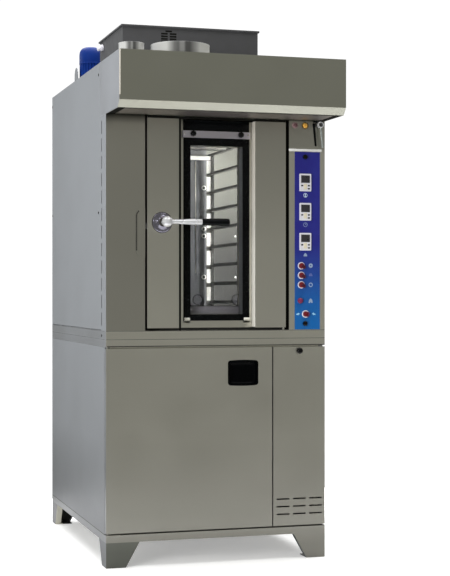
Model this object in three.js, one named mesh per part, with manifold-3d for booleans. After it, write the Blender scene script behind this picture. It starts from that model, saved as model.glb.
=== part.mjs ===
// Rotating rack oven: an insulated baking chamber with a turning tray rack, a hood with two flue
// collars above it, and a base cabinet on four folded feet below it.
//
// Millimetres, +Z up. While it is built, x runs from the left side, y from the plane of the
// front panels to the rear, and z from the floor. The whole group is then moved so that its
// origin is the centre of its base.
import * as THREE from 'three';
import { mergeVertices } from 'three/addons/utils/BufferGeometryUtils.js';
import Module from 'manifold-3d';

const wasm = await Module();
wasm.setup();

// ---------------------------------------------------------------- driving dimensions

// Overall body
const width = 920;
const bodyDepth = 1220;
const hoodReach = 240;
const footHeight = 100;
const baseFrameHeight = 30;
const cabinetHeight = 744;
const deckHeight = 30;
const ovenBaseHeight = 33;
const frontPanelHeight = 859;
const hoodHeight = 219;
const sheet = 2;
const panelFold = 20;
const runningGap = 0.3;
const pinSides = 12;
const shaftSides = 16;
const buttonSides = 16;

// Feet
const footBottomWidth = 80;
const footTopWidth = 136;
const footSheet = 3;
const footReturn = 26;

// Base cabinet
const lowerDoorWidth = 691;
const lowerDoorThickness = 22;
const frontGap = 4;
const panelGap = 6;
const lowerHingeInset = 8;
const lowerPinRadius = 4;
const framePostWidth = 40;
const frameDepth = 30;
const frameRail = 20;
const pullWidth = 122;
const pullHeight = 92;
const pullArch = 6;
const pullCorner = 9;
const pullDepth = 18;
const pullFromLatchEdge = 124;
const pullFromTop = 109.5;
const ventColumns = 3;
const ventRows = 3;
const ventLength = 55;
const ventPitchX = 70.5;
const ventPitchZ = 31;
const ventSlotHeight = 6;
const ventFromDoor = 47.5;
const ventRise = 53;

// Chamber, plenum and insulation
const frontDepth = 116;
const chamberWidth = 740;
const chamberFloorRise = 23;
const chamberHeight = 816;
const chamberMouthWidth = 540;
const chamberMouthMargin = 8;
const plenumWidth = 836;
const ductPanelY = 885;
const plenumEndY = 1180;
const airSlotRows = 5;
const airSlotPitch = 144;
const airSlotRise = 120;
const airSlotInsets = [35, 75, 115];
const airSlotLength = 92;
const airSlotWidth = 14;
const airCoverInset = 160;
const airCoverWidth = 415;
const airCoverRise = 4;
const airCoverDepth = 12;
const airCoverDraft = 30;
const airCoverFlange = 43;
const airCoverHeight = 229;
const airCoverFoot = 180;
const insulationTop = 72;
const insulationMargin = 2;

// Front panels
const fasciaWidth = 158;
const columnWidth = 156;
const keeperAbove = 57;
const keeperBelow = 140;
const keeperWidth = 37.5;
const keeperCorner = 30;
const keeperRise = 3;

// Left side panel
const slotCount = 12;
const slotPitch = 69.7;
const slotLength = 54.7;
const slotWidth = 9;
const slotDrop = 18;
const slotColumnY = 84;
const slitCount = 5;
const slitLength = 205;
const slitGap = 17;
const slitHeight = 4;
const slitStartY = 96;

// Hood
const hoodChamfer = 27;
const hoodLip = 20;
const baffleGap = 12;
const largeCollarRadius = 118;
const largeCollarX = 302;
const smallCollarRadius = 51;
const smallCollarX = 102;
const collarHeight = 63;
const collarFlange = 11;

// Oven door
const latchSideGap = 9;
const hingeSideGap = 14;
const doorTopGap = 6;
const doorBottomGap = 11;
const doorDepth = 105;
const doorWall = 3;
const doorTaper = 10;
const stripLeftWidth = 132;
const stripRightWidth = 131;
const recessDepth = 50;
const recessDraft = 6;
const glassThickness = 5;
const glassLeftInset = 30;
const glassRightInset = 10;
const glassBottomRise = 39;
const glassTopRise = 790;
const revealLeftInset = 28;
const revealRightInset = 29;
const revealBottomRise = 65;
const revealTopRise = 749;
const revealStep = 6;
const revealStepBottom = 33;
const innerGlassMargin = 12;
const clipLeftInset = 14;
const clipRightInset = 13;
const clipWidth = 24;
const clipSheet = 3;
const clipDrop = 8;
const clipHold = 12;
const clampBarHeight = 28;
const clampBarRise = 780;
const clampBarOverLeft = 5;
const clampBarDepth = 12;
const glassKnobLeftInset = 38;
const glassKnobRightInset = 40;
const glassKnobRise = 16;
const glassKnobDepth = 13;
const knobRadius = 10.5;
const gasketWidth = 10;
const gasketInset = 9;
const doorHingeInset = 8;
const doorHingeDepth = 10;
const doorPinRadius = 6;
const doorPinLength = 12;

// Latch
const latchInset = 61;
const latchRise = 433;
const rosetteRadius = 40;
const rosetteDepth = 9;
const rosetteRim = 3;
const rosetteCollar = 14;
const ballRadius = 22;
const latchReach = 85;
const leverLength = 141;
const spindleRadius = 8.7;
const spindleHoleRadius = 9;
const leverNeckRadius = 8.5;
const leverMiddleRadius = 10.5;
const leverEndRadius = 12;
const gripLength = 114;
const gripRadius = 15;
const tangRadius = 7;
const tangLength = 40;
const boltHeight = 20;
const boltDepth = 10;
const boltLength = 62;
const boltTip = 7;
const boltY = 26;
const boltDrop = 15;

// Rack
const rackCentreY = 505;
const rackWidth = 408;
const rackLength = 580;
const rackRise = 25;
const rackDrop = 54;
const rackBar = 22;
const rackSheet = 2;
const runnerCount = 8;
const runnerPitch = 84;
const runnerRise = 56;
const runnerLedge = 29;
const runnerLip = 14;
const rackShaftRadius = 15;
const rackPinRadius = 8;
const rackPinBossHeight = 15;
const hubRadius = 34;

// Roof: drive housing, gearmotor and fan motor
const housingX = 146;
const housingY = 350;
const housingWidth = 597;
const housingDepth = 462;
const housingHeight = 204;
const lidOverhang = 6;
const lidThickness = 7;
const louvreColumns = 2;
const louvreRows = 4;
const louvreLength = 29;
const louvreHeight = 5.5;
const louvrePitchX = 38;
const louvrePitchZ = 11;
const louvreInset = 166.5;
const louvreRise = 137;
const housingGlandY = 745;
const housingGlandRise = 170;
const housingGlandReach = 27;
const housingGlandNut = 13;
const housingGlandNutRadius = 12;
const housingGlandRadius = 8;
const housingGlandDroop = 22;
const gearboxSize = 124;
const gearboxHeight = 84;
const gearMotorRadius = 52;
const gearMotorHeight = 92;
const fanInset = 108;
const fanY = 1040;
const motorRadius = 54;
const motorCowlRise = 137;
const motorRise = 215;
const motorFins = 14;
const motorFinDepth = 4;
const motorFlangeMargin = 7;
const motorFlangeHeight = 9;
const guardHalfWidth = 37;
const guardHeight = 119;
const guardFromFan = 70;
const fanShaftRadius = 8;
const fanShaftReach = 28;
const fanHubRadius = 22;
const hubDepth = 30;
const impellerRadius = 100;
const impellerHeight = 84;
const impellerDrop = 26;
const bladeCount = 12;

// Heating element
const heaterRadius = 6;
const heaterLegs = 4;
const heaterPitch = 70;
const heaterLegLength = 520;
const heaterRise = 390;
const heaterY = 1030;
const heaterFromRight = 358;

// Control column
const panelFromRight = 131;
const panelWidth = 109;
const panelRise = 2;
const panelHeight = 729;
const panelSheet = 2;
const controllerRises = [641, 521, 398];
const controllerWidth = 50;
const controllerHeight = 72;
const controllerInset = 44;
const controllerRise = 7;
const controllerBack = 60;
const displayMargin = 6;
const displayShare = 0.52;
const displayDepth = 1.5;
const keyCount = 4;
const keyRowInset = 10.5;
const keyRowRise = 20.5;
const keyWidth = 6;
const keyHeight = 5;
const lastKeyInset = 8;
const lastKeyRise = 8;
const rockerInset = 27;
const rockerRises = [263, 224, 185];
const rockerRadius = 10.3;
const rockerTilt = 8;
const bezelWidth = 5;
const bezelRise = 3;
const pushInset = 22.5;
const pushRise = 120;
const pushRadius = 11;
const selectorInset = 46;
const selectorRise = 65;
const selectorRadius = 15;
const selectorGripDepth = 11;
const selectorRibReach = 18;
const selectorRibWidth = 5;
const panelKnobInset = 43;
const panelKnobTopRise = 710;
const panelKnobBottomRise = 26;
const panelKnobDepth = 11;
const serviceKnobFromRight = 111;
const serviceKnobFromTop = 22.5;
const serviceKnobRadius = 13;
const serviceKnobDepth = 14;
const lampRadius = 12;
const lampDrop = 20;
const redLampFromRight = 130;
const orangeLampFromRight = 86;
const damperFromRight = 27;
const damperDrop = 17;
const damperBallRadius = 14;
const damperReach = 22;
const damperLength = 98;
const damperRodRadius = 5;
const damperStubRadius = 4.5;
const damperLean = 6;

// ---------------------------------------------------------------- levels worked out from them

const baseTop = footHeight + baseFrameHeight;
const cabinetTop = baseTop + cabinetHeight;
const deckTop = cabinetTop + deckHeight;
const ovenFloor = deckTop + ovenBaseHeight;
const hoodBottom = ovenFloor + frontPanelHeight;
const roofTop = hoodBottom + hoodHeight;
const chamberFloorZ = ovenFloor + chamberFloorRise;
const chamberTop = chamberFloorZ + chamberHeight;
const hoodBack = frontDepth + sheet;
const carcassY = lowerDoorThickness + frontGap;
const rackCentreX = width / 2;
const chamberLeft = rackCentreX - chamberWidth / 2;
const chamberRight = rackCentreX + chamberWidth / 2;
const plenumLeft = rackCentreX - plenumWidth / 2;
const plenumRight = rackCentreX + plenumWidth / 2;
const fanX = plenumLeft + fanInset;
const pullCentreX = lowerDoorWidth - pullFromLatchEdge;
const pullCentreZ = cabinetTop - pullFromTop;
const ventFirstX = lowerDoorWidth + ventFromDoor;
const ventFirstZ = baseTop + ventRise;
const airSlotFirstZ = chamberFloorZ + airSlotRise;
const airCoverLeft = chamberLeft + airCoverInset;
const airCoverRight = airCoverLeft + airCoverWidth;
const airCoverFold = airCoverRight - airCoverFlange;
const airCoverBottom = chamberFloorZ + airCoverFoot;
const doorLeft = fasciaWidth + latchSideGap;
const doorRight = width - columnWidth - hingeSideGap;
const recessLeft = doorLeft + stripLeftWidth;
const recessRight = doorRight - stripRightWidth;
const outerGlass = {
  left: recessLeft + glassLeftInset,
  right: recessRight - glassRightInset,
  bottom: ovenFloor + glassBottomRise,
  top: ovenFloor + glassTopRise,
};
const windowReveal = {
  left: outerGlass.left + revealLeftInset,
  right: outerGlass.right - revealRightInset,
  bottom: ovenFloor + revealBottomRise,
  top: ovenFloor + revealTopRise,
};
const windowBack = {
  left: windowReveal.left + revealStep,
  right: windowReveal.right - revealStep,
  bottom: windowReveal.bottom + revealStepBottom,
  top: windowReveal.top,
};
const clipXs = [outerGlass.left + clipLeftInset, outerGlass.right - clipRightInset];
const glassKnobXs = [outerGlass.left + glassKnobLeftInset, outerGlass.right - glassKnobRightInset];
const latchX = doorLeft + latchInset;
const latchZ = ovenFloor + latchRise;
const boltZ = latchZ - boltDrop;
const keeperTop = latchZ + keeperAbove;
const keeperBottom = latchZ - keeperBelow;
const slotTopZ = hoodBottom - slotDrop;
const clampBarBottom = ovenFloor + clampBarRise;
const clampBarLeft = outerGlass.left - clampBarOverLeft;
const glassKnobZ = clampBarBottom + glassKnobRise;
const rackBottomZ = chamberFloorZ + rackRise;
const rackTopZ = chamberTop - rackDrop;
const runnerFirstZ = rackBottomZ + runnerRise;
const louvreX = housingX + louvreInset;
const louvreZ = roofTop + louvreRise;
const motorCowlBaseZ = roofTop + motorCowlRise;
const motorTopZ = roofTop + motorRise;
const impellerTopZ = chamberTop - impellerDrop;
const heaterCentreZ = chamberFloorZ + heaterRise;
const heaterFirstX = plenumRight - heaterFromRight;
const panelX = width - panelFromRight;
const panelBottomZ = ovenFloor + panelRise;
const panelTopZ = panelBottomZ + panelHeight;
const controllerTops = controllerRises.map((rise) => ovenFloor + rise);
const rockerZs = rockerRises.map((rise) => ovenFloor + rise);
const controllerX = panelX + controllerInset;
const rockerX = panelX + rockerInset;
const pushX = panelX + pushInset;
const pushZ = ovenFloor + pushRise;
const selectorX = panelX + selectorInset;
const selectorZ = ovenFloor + selectorRise;
const panelKnobX = panelX + panelKnobInset;
const panelKnobTopZ = ovenFloor + panelKnobTopRise;
const panelKnobBottomZ = ovenFloor + panelKnobBottomRise;
const serviceKnobX = width - serviceKnobFromRight;
const serviceKnobZ = cabinetTop - serviceKnobFromTop;
const lampZ = hoodBottom - lampDrop;
const redLampX = width - redLampFromRight;
const orangeLampX = width - orangeLampFromRight;
const damperX = width - damperFromRight;
const damperZ = hoodBottom - damperDrop;

// ---------------------------------------------------------------- materials

const paint = (colour, roughness, metalness) =>
  new THREE.MeshStandardMaterial({ color: colour, roughness, metalness });
const satinSteel = paint(0x85837a, 0.42, 0.7);
const darkSteel = paint(0x67685f, 0.45, 0.7);
const sideSteel = paint(0x9a9da3, 0.45, 0.7);
const footSteel = paint(0x5c5f58, 0.5, 0.6);
const brightSteel = paint(0xd5d6d2, 0.22, 0.95);
const linerSteel = paint(0xa5a79f, 0.38, 0.8);
const chrome = paint(0xe6e8ea, 0.08, 1.0);
const blackPlastic = paint(0x0b0b0c, 0.4, 0.0);
const blackRubber = paint(0x17181a, 0.8, 0.0);
const greyPaint = paint(0x555555, 0.6, 0.2);
const motorBlue = paint(0x1b3a96, 0.45, 0.1);
const panelBlue = paint(0x1c4fb4, 0.3, 0.0);
const whitePlastic = paint(0xe9e9e4, 0.4, 0.0);
const redPlastic = paint(0xc3252b, 0.3, 0.0);
const pinkLens = paint(0xd98f93, 0.25, 0.0);
const orangeLens = paint(0xf09a1c, 0.25, 0.0);
const glass = new THREE.MeshStandardMaterial({
  color: 0x8d9490, roughness: 0.05, metalness: 0, transparent: true, opacity: 0.35,
});
const rockWool = paint(0xb9a468, 0.95, 0.0);

// ---------------------------------------------------------------- geometry helpers

// A closed geometry as a solid that can be joined and cut
function solid(geometry) {
  const bare = geometry.index ? geometry.toNonIndexed() : geometry.clone();
  bare.deleteAttribute('normal');
  bare.deleteAttribute('uv');
  const welded = mergeVertices(bare, 1e-4);
  return new wasm.Manifold(new wasm.Mesh({
    numProp: 3,
    vertProperties: new Float32Array(welded.attributes.position.array),
    triVerts: new Uint32Array(welded.index.array),
  }));
}

// The surface of a solid as a geometry
function surface(body) {
  const mesh = body.getMesh();
  const geometry = new THREE.BufferGeometry();
  geometry.setAttribute('position', new THREE.BufferAttribute(mesh.vertProperties, 3));
  geometry.setIndex(new THREE.BufferAttribute(mesh.triVerts, 1));
  geometry.computeVertexNormals();
  return geometry;
}

const join = (...bodies) => bodies.reduce((sum, body) => sum.add(body));
const cut = (body, ...tools) => tools.reduce((rest, tool) => rest.subtract(tool), body);

// A block between two corners
function block(x0, x1, y0, y1, z0, z1) {
  const geometry = new THREE.BoxGeometry(x1 - x0, y1 - y0, z1 - z0);
  geometry.translate((x0 + x1) / 2, (y0 + y1) / 2, (z0 + z1) / 2);
  return solid(geometry);
}

// A flat outline from points
function outline(points) {
  return new THREE.Shape(points.map(([a, b]) => new THREE.Vector2(a, b)));
}

const flat = (shape, depth, curveSegments) =>
  new THREE.ExtrudeGeometry(shape, { depth, bevelEnabled: false, curveSegments });

// An outline in (x, z) drawn out along y
function prismY(shape, y0, y1, curveSegments = 6) {
  const geometry = flat(shape, y1 - y0, curveSegments);
  geometry.rotateX(Math.PI / 2);
  geometry.translate(0, y1, 0);
  return solid(geometry);
}

// An outline in (y, z) drawn out along x
function prismX(shape, x0, x1, curveSegments = 6) {
  const geometry = flat(shape, x1 - x0, curveSegments);
  geometry.applyMatrix4(new THREE.Matrix4().makeBasis(
    new THREE.Vector3(0, 1, 0), new THREE.Vector3(0, 0, 1), new THREE.Vector3(1, 0, 0)));
  geometry.translate(x0, 0, 0);
  return solid(geometry);
}

// An outline in (x, y) drawn out along z
function prismZ(shape, z0, z1, curveSegments = 6) {
  const geometry = flat(shape, z1 - z0, curveSegments);
  geometry.translate(0, 0, z0);
  return solid(geometry);
}

// A profile of (radius, height) points turned about the z axis through (x, y)
function turnedZ(profile, x, y, segments = 20) {
  const geometry = new THREE.LatheGeometry(
    profile.map(([radius, height]) => new THREE.Vector2(radius, height)), segments);
  geometry.rotateX(Math.PI / 2);
  geometry.translate(x, y, 0);
  return solid(geometry);
}

// A profile of (radius, reach) points turned about the y axis through (x, z), where reach
// counts towards the front
function turnedY(profile, x, z, segments = 20) {
  const geometry = new THREE.LatheGeometry(
    profile.map(([radius, reach]) => new THREE.Vector2(radius, reach)), segments);
  geometry.rotateX(Math.PI);
  geometry.translate(x, 0, z);
  return solid(geometry);
}

const rod = (radius, z0, z1, x, y, segments = 20) =>
  turnedZ([[0, z0], [radius, z0], [radius, z1], [0, z1]], x, y, segments);
const boss = (radius, y0, y1, x, z, segments = 12) =>
  turnedY([[0, -y1], [radius, -y1], [radius, -y0], [0, -y0]], x, z, segments);

// A rod along x
function rodX(profile, y, z, segments = 16) {
  const geometry = new THREE.LatheGeometry(
    profile.map(([radius, x]) => new THREE.Vector2(radius, x)), segments);
  geometry.rotateZ(-Math.PI / 2);
  geometry.translate(0, y, z);
  return solid(geometry);
}

// A sheet pan: a block hollowed from one side, with walls as thick as the sheet
function pan(x0, x1, y0, y1, z0, z1, open, wall = sheet) {
  const low = [x0 + wall, y0 + wall, z0 + wall];
  const high = [x1 - wall, y1 - wall, z1 - wall];
  const axis = 'xyz'.indexOf(open[1]);
  if (open[0] === '+') high[axis] += 2 * wall;
  else low[axis] -= 2 * wall;
  return cut(block(x0, x1, y0, y1, z0, z1),
    block(low[0], high[0], low[1], high[1], low[2], high[2]));
}

// A slot with round ends, as an outline centred on (a, b) with its length along the second axis
function slotOutline(a, b, slotSize, length) {
  const radius = slotSize / 2;
  const reach = length / 2 - radius;
  const shape = new THREE.Shape();
  shape.absarc(a, b + reach, radius, 0, Math.PI, false);
  shape.absarc(a, b - reach, radius, Math.PI, 2 * Math.PI, false);
  return shape;
}

// A rectangle with a straight margin all round, as an outline
function rectangle(left, right, bottom, top) {
  return outline([[left, bottom], [right, bottom], [right, top], [left, top]]);
}

// A round grip with lobes, as an outline about (a, b)
function lobed(a, b, radius, lobes, depth) {
  const points = [];
  for (let i = 0; i < lobes * 3; i += 1) {
    const angle = (i / (lobes * 3)) * 2 * Math.PI;
    const r = radius - (i % 3 === 0 ? depth : 0);
    points.push([a + r * Math.cos(angle), b + r * Math.sin(angle)]);
  }
  return outline(points);
}

const oven = new THREE.Group();

function group(parent, x = 0, y = 0, z = 0) {
  const assembly = new THREE.Group();
  assembly.position.set(x, y, z);
  parent.add(assembly);
  return assembly;
}

function piece(parent, name, body, material) {
  const mesh = new THREE.Mesh(surface(body), material);
  mesh.name = name;
  parent.add(mesh);
  return mesh;
}

// ---------------------------------------------------------------- feet and base cabinet

// A folded sheet foot under one corner: two tapered faces with returns, a top and a bottom plate
function foot(cornerX, cornerY, inX, inY) {
  const alongX = (distance) => cornerX + inX * distance;
  const alongY = (distance) => cornerY + inY * distance;
  const span = (a, b) => [Math.min(a, b), Math.max(a, b)];
  const taper = (along) => outline([[along(0), 0], [along(footBottomWidth), 0],
    [along(footTopWidth), footHeight], [along(0), footHeight]]);
  const slope = (along) => outline([[along(footBottomWidth - footSheet), 0],
    [along(footBottomWidth), 0], [along(footTopWidth), footHeight],
    [along(footTopWidth - footSheet), footHeight]]);
  const plate = (size, z0, z1) =>
    block(...span(alongX(0), alongX(size)), ...span(alongY(0), alongY(size)), z0, z1);
  return join(
    prismY(taper(alongX), ...span(alongY(0), alongY(footSheet))),
    prismX(taper(alongY), ...span(alongX(0), alongX(footSheet))),
    prismY(slope(alongX), ...span(alongY(0), alongY(footReturn))),
    prismX(slope(alongY), ...span(alongX(0), alongX(footReturn))),
    plate(footBottomWidth, 0, footSheet),
    plate(footReturn * 2, footHeight - footSheet, footHeight));
}

const base = group(oven);
piece(base, 'foot_front_left', foot(0, 0, 1, 1), footSteel);
piece(base, 'foot_front_right', foot(width, 0, -1, 1), footSteel);
piece(base, 'foot_rear_left', foot(0, bodyDepth, 1, -1), footSteel);
piece(base, 'foot_rear_right', foot(width, bodyDepth, -1, -1), footSteel);

const lowerPinX = lowerHingeInset - 1;
const lowerPinY = lowerHingeInset + 1;
const lowerPinHole = (z0, z1) =>
  rod(lowerPinRadius + runningGap, z0, z1, lowerPinX, lowerPinY, pinSides);

piece(base, 'base_frame', cut(
  pan(0, width, 0, bodyDepth, footHeight, baseTop, '-z'),
  lowerPinHole(baseTop - sheet * 2, baseTop + sheet)), satinSteel);

piece(base, 'cabinet_side_left',
  pan(0, panelFold, carcassY, bodyDepth, baseTop, cabinetTop, '+x'), sideSteel);
piece(base, 'cabinet_side_right',
  pan(width - panelFold, width, carcassY, bodyDepth, baseTop, cabinetTop, '-x'), sideSteel);
piece(base, 'cabinet_rear_panel',
  pan(panelFold, width - panelFold, bodyDepth - panelFold, bodyDepth, baseTop, cabinetTop, '-y'),
  sideSteel);

// The welded inner frame: top deck, front frame with two openings, and the partition between
// the tray cabinet and the technical compartment
function cabinetFrame() {
  const left = panelFold;
  const right = width - panelFold;
  const divide = lowerDoorWidth + 2;
  const y1 = carcassY + frameDepth;
  const opening = (x0, x1) => block(x0, x1, carcassY - 1, y1 + 1, baseTop + frameRail,
    cabinetTop - frameRail * 1.5);
  const frame = cut(block(left, right, carcassY, y1, baseTop, cabinetTop),
    opening(left + framePostWidth, divide - frameRail),
    opening(divide + frameRail, right - frameRail));
  const wall = block(divide - sheet / 2, divide + sheet / 2, carcassY, bodyDepth - panelFold,
    baseTop, cabinetTop);
  const deck = pan(0, width, 0, bodyDepth, cabinetTop, deckTop, '+z');
  return cut(join(frame, wall, deck), lowerPinHole(cabinetTop - sheet, cabinetTop + sheet * 2));
}
piece(base, 'cabinet_frame', cabinetFrame(), satinSteel);

// The removable service panel on the right, with its rows of vents
function servicePanel() {
  const x0 = lowerDoorWidth + 5;
  const bottom = baseTop + panelGap;
  const top = cabinetTop - panelGap;
  const vents = [];
  for (let column = 0; column < ventColumns; column += 1) {
    for (let row = 0; row < ventRows; row += 1) {
      const x = ventFirstX + column * ventPitchX;
      const z = ventFirstZ + row * ventPitchZ;
      vents.push(block(x - ventLength / 2, x + ventLength / 2, -1, sheet + 1,
        z - ventSlotHeight / 2, z + ventSlotHeight / 2));
    }
  }
  const knobHole = boss(serviceKnobRadius / 2 + runningGap, -1, sheet + 1, serviceKnobX,
    serviceKnobZ);
  return cut(pan(x0, width, 0, carcassY, bottom, top, '+y'), ...vents, knobHole);
}
piece(base, 'service_panel', servicePanel(), satinSteel);

// ---------------------------------------------------------------- lower door

// The finger pull's outline: a rectangle with bowed top and bottom and small round corners
function pullOutline(inset) {
  const halfW = pullWidth / 2 - inset;
  const halfH = pullHeight / 2 - inset;
  const r = pullCorner;
  const shape = new THREE.Shape();
  shape.moveTo(-halfW + r, -halfH);
  shape.quadraticCurveTo(0, -halfH - pullArch, halfW - r, -halfH);
  shape.absarc(halfW - r, -halfH + r, r, -Math.PI / 2, 0, false);
  shape.absarc(halfW - r, halfH - r, r, 0, Math.PI / 2, false);
  shape.quadraticCurveTo(0, halfH + pullArch, -halfW + r, halfH);
  shape.absarc(-halfW + r, halfH - r, r, Math.PI / 2, Math.PI, false);
  shape.absarc(-halfW + r, -halfH + r, r, Math.PI, Math.PI * 1.5, false);
  return shape;
}
const pullSolid = (inset, y0, y1) => prismY(pullOutline(inset), y0, y1, 3)
  .translate(pullCentreX, 0, pullCentreZ);

const lowerDoor = group(oven);
function lowerDoorPanel() {
  const bottom = baseTop + panelGap;
  const top = cabinetTop - panelGap;
  const skin = pan(0, lowerDoorWidth, 0, lowerDoorThickness, bottom, top, '+y');
  const pin = (z0, z1) => rod(lowerPinRadius, z0, z1, lowerPinX, lowerPinY, pinSides);
  return cut(join(skin, pin(bottom - panelGap - sheet, bottom + panelFold),
    pin(top - panelFold, top + panelGap + sheet)), pullSolid(-runningGap, -1, sheet + 1));
}
piece(lowerDoor, 'lower_door', lowerDoorPanel(), satinSteel);
piece(lowerDoor, 'lower_door_pull', cut(
  join(pullSolid(0, 0, pullDepth), pullSolid(-2 * sheet, sheet + runningGap, sheet * 2)),
  pullSolid(sheet, -1, pullDepth - sheet)), blackPlastic);

// ---------------------------------------------------------------- oven body

const body = group(oven);
const doorPinX = doorRight - doorHingeInset;
const doorPinHole = (z0, z1) =>
  rod(doorPinRadius + runningGap, z0, z1, doorPinX, doorHingeDepth, pinSides);

piece(body, 'oven_base', cut(
  pan(0, width, 0, bodyDepth, deckTop, ovenFloor, '-z'),
  doorPinHole(ovenFloor - sheet * 2, ovenFloor + sheet)), satinSteel);

// A side pan: its outline steps back under the hood
function sidePan(x0, x1, openTo) {
  const profile = (inset) => outline([
    [sheet + inset, ovenFloor + inset], [bodyDepth - inset, ovenFloor + inset],
    [bodyDepth - inset, roofTop - inset], [hoodBack + inset, roofTop - inset],
    [hoodBack + inset, hoodBottom - inset], [sheet + inset, hoodBottom - inset]]);
  const inner = openTo > 0 ? [x0 + sheet, x1 + sheet] : [x0 - sheet, x1 - sheet];
  return cut(prismX(profile(0), x0, x1), prismX(profile(sheet), inner[0], inner[1]));
}

// The left side has a column of upright slots near the front and a row of slits at its foot
function leftSide() {
  const tools = [];
  for (let i = 0; i < slotCount; i += 1) {
    const z = slotTopZ - slotLength / 2 - i * slotPitch;
    tools.push(prismX(slotOutline(slotColumnY, z, slotWidth, slotLength), -1, sheet + 1, 2));
  }
  for (let i = 0; i < slitCount; i += 1) {
    const y = slitStartY + i * (slitLength + slitGap);
    tools.push(block(-1, sheet + 1, y, y + slitLength, ovenFloor - 1, ovenFloor + slitHeight));
  }
  return cut(sidePan(0, panelFold, 1), ...tools);
}
piece(body, 'oven_side_left', leftSide(), sideSteel);
piece(body, 'oven_side_right', sidePan(width - panelFold, width, -1), sideSteel);
piece(body, 'oven_rear_panel',
  pan(panelFold, width - panelFold, bodyDepth - panelFold, bodyDepth, ovenFloor, roofTop, '-y'),
  sideSteel);

const rackShaftHole = (z0, z1, clearance) =>
  rod(rackShaftRadius + clearance, z0, z1, rackCentreX, rackCentreY, shaftSides);
const fanShaftHole = (z0, z1, clearance) =>
  rod(fanShaftRadius + clearance, z0, z1, fanX, fanY, shaftSides);

// The roof pan, with the upright guard plate beside the fan motor
function roof() {
  const top = pan(panelFold, width - panelFold, hoodBack, bodyDepth - panelFold,
    roofTop - panelFold, roofTop, '-z');
  const guard = new THREE.Shape();
  const half = guardHalfWidth;
  const archZ = roofTop + guardHeight - half;
  guard.moveTo(fanY - half, roofTop - sheet / 2);
  guard.lineTo(fanY + half, roofTop - sheet / 2);
  guard.lineTo(fanY + half, archZ);
  guard.absarc(fanY, archZ, half, 0, Math.PI, false);
  const plateX = fanX - guardFromFan;
  return cut(join(top, prismX(guard, plateX, plateX + footSheet, 8)),
    rackShaftHole(roofTop - sheet * 2, roofTop + sheet, 7),
    fanShaftHole(roofTop - sheet * 2, roofTop + sheet, 5));
}
piece(body, 'oven_roof', roof(), sideSteel);

// The chamber and the wider plenum behind it, as one outline seen from above
function chamberOutline(grow, front) {
  const wide = (x, side) => x + side * grow;
  return outline([
    [wide(chamberLeft, -1), front], [wide(chamberRight, 1), front],
    [wide(chamberRight, 1), ductPanelY - grow], [wide(plenumRight, 1), ductPanelY - grow],
    [wide(plenumRight, 1), plenumEndY + grow], [wide(plenumLeft, -1), plenumEndY + grow],
    [wide(plenumLeft, -1), ductPanelY - grow], [wide(chamberLeft, -1), ductPanelY - grow]]);
}

const linerFront = frontDepth + sheet;
function insulation() {
  const top = chamberTop + sheet + insulationTop;
  const wool = block(panelFold + insulationMargin, width - panelFold - insulationMargin,
    linerFront, bodyDepth - panelFold - insulationMargin, ovenFloor, top);
  return cut(wool,
    prismZ(chamberOutline(sheet, linerFront - 1), chamberFloorZ - sheet, chamberTop + sheet),
    rackShaftHole(chamberTop, top + 1, 7), fanShaftHole(chamberTop, top + 1, 5));
}
piece(body, 'oven_insulation', insulation(), rockWool);

// The stainless liner: chamber, plenum and the front plate that the door seals against, with the
// boss that holds the foot of the rack
function liner() {
  const mouthLeft = rackCentreX - chamberMouthWidth / 2;
  const mouthRight = rackCentreX + chamberMouthWidth / 2;
  const plate = block(panelFold, width - panelFold, frontDepth, linerFront, ovenFloor, hoodBottom);
  const shell = prismZ(chamberOutline(sheet, frontDepth), chamberFloorZ - sheet,
    chamberTop + sheet);
  const hollow = prismZ(chamberOutline(0, linerFront), chamberFloorZ, chamberTop);
  const mouth = block(mouthLeft, mouthRight, frontDepth - 1, linerFront + 1,
    chamberFloorZ + chamberMouthMargin, chamberTop - chamberMouthMargin);
  const pivot = rod(rackPinRadius * 2.5, chamberFloorZ - sheet / 2,
    chamberFloorZ + rackPinBossHeight, rackCentreX, rackCentreY);
  const pivotBore = rod(rackPinRadius + runningGap, chamberFloorZ + sheet,
    chamberFloorZ + rackPinBossHeight + 1, rackCentreX, rackCentreY, shaftSides);
  return cut(join(cut(join(plate, shell), hollow, mouth), pivot), pivotBore,
    rackShaftHole(chamberTop - 1, chamberTop + sheet + 1, 7),
    fanShaftHole(chamberTop - 1, chamberTop + sheet + 1, 5));
}
piece(body, 'oven_liner', liner(), linerSteel);

// The air panel between chamber and plenum: two raised covers, and slots down its left side
function airPanel() {
  const gap = runningGap;
  const plate = block(chamberLeft + gap, chamberRight - gap, ductPanelY, ductPanelY + sheet,
    chamberFloorZ + gap, chamberTop - gap);
  const covers = [0, 1].map((i) => {
    const bottom = airCoverBottom + i * (airCoverHeight + sheet);
    const top = bottom + airCoverHeight;
    return join(
      block(airCoverLeft, airCoverRight, ductPanelY - airCoverRise, ductPanelY + 1, bottom, top),
      block(airCoverLeft + airCoverDraft, airCoverFold, ductPanelY - airCoverDepth, ductPanelY,
        bottom + airCoverDepth, top - airCoverDepth));
  });
  const slots = [];
  for (let row = 0; row < airSlotRows; row += 1) {
    const z = airSlotFirstZ + row * airSlotPitch;
    for (const inset of airSlotInsets) {
      const x = chamberLeft + inset;
      slots.push(block(x - airSlotWidth / 2, x + airSlotWidth / 2, ductPanelY - 2,
        ductPanelY + sheet + 2, z - airSlotLength / 2, z + airSlotLength / 2));
    }
  }
  return cut(join(plate, ...covers), ...slots);
}
piece(body, 'air_panel', airPanel(), linerSteel);

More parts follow.
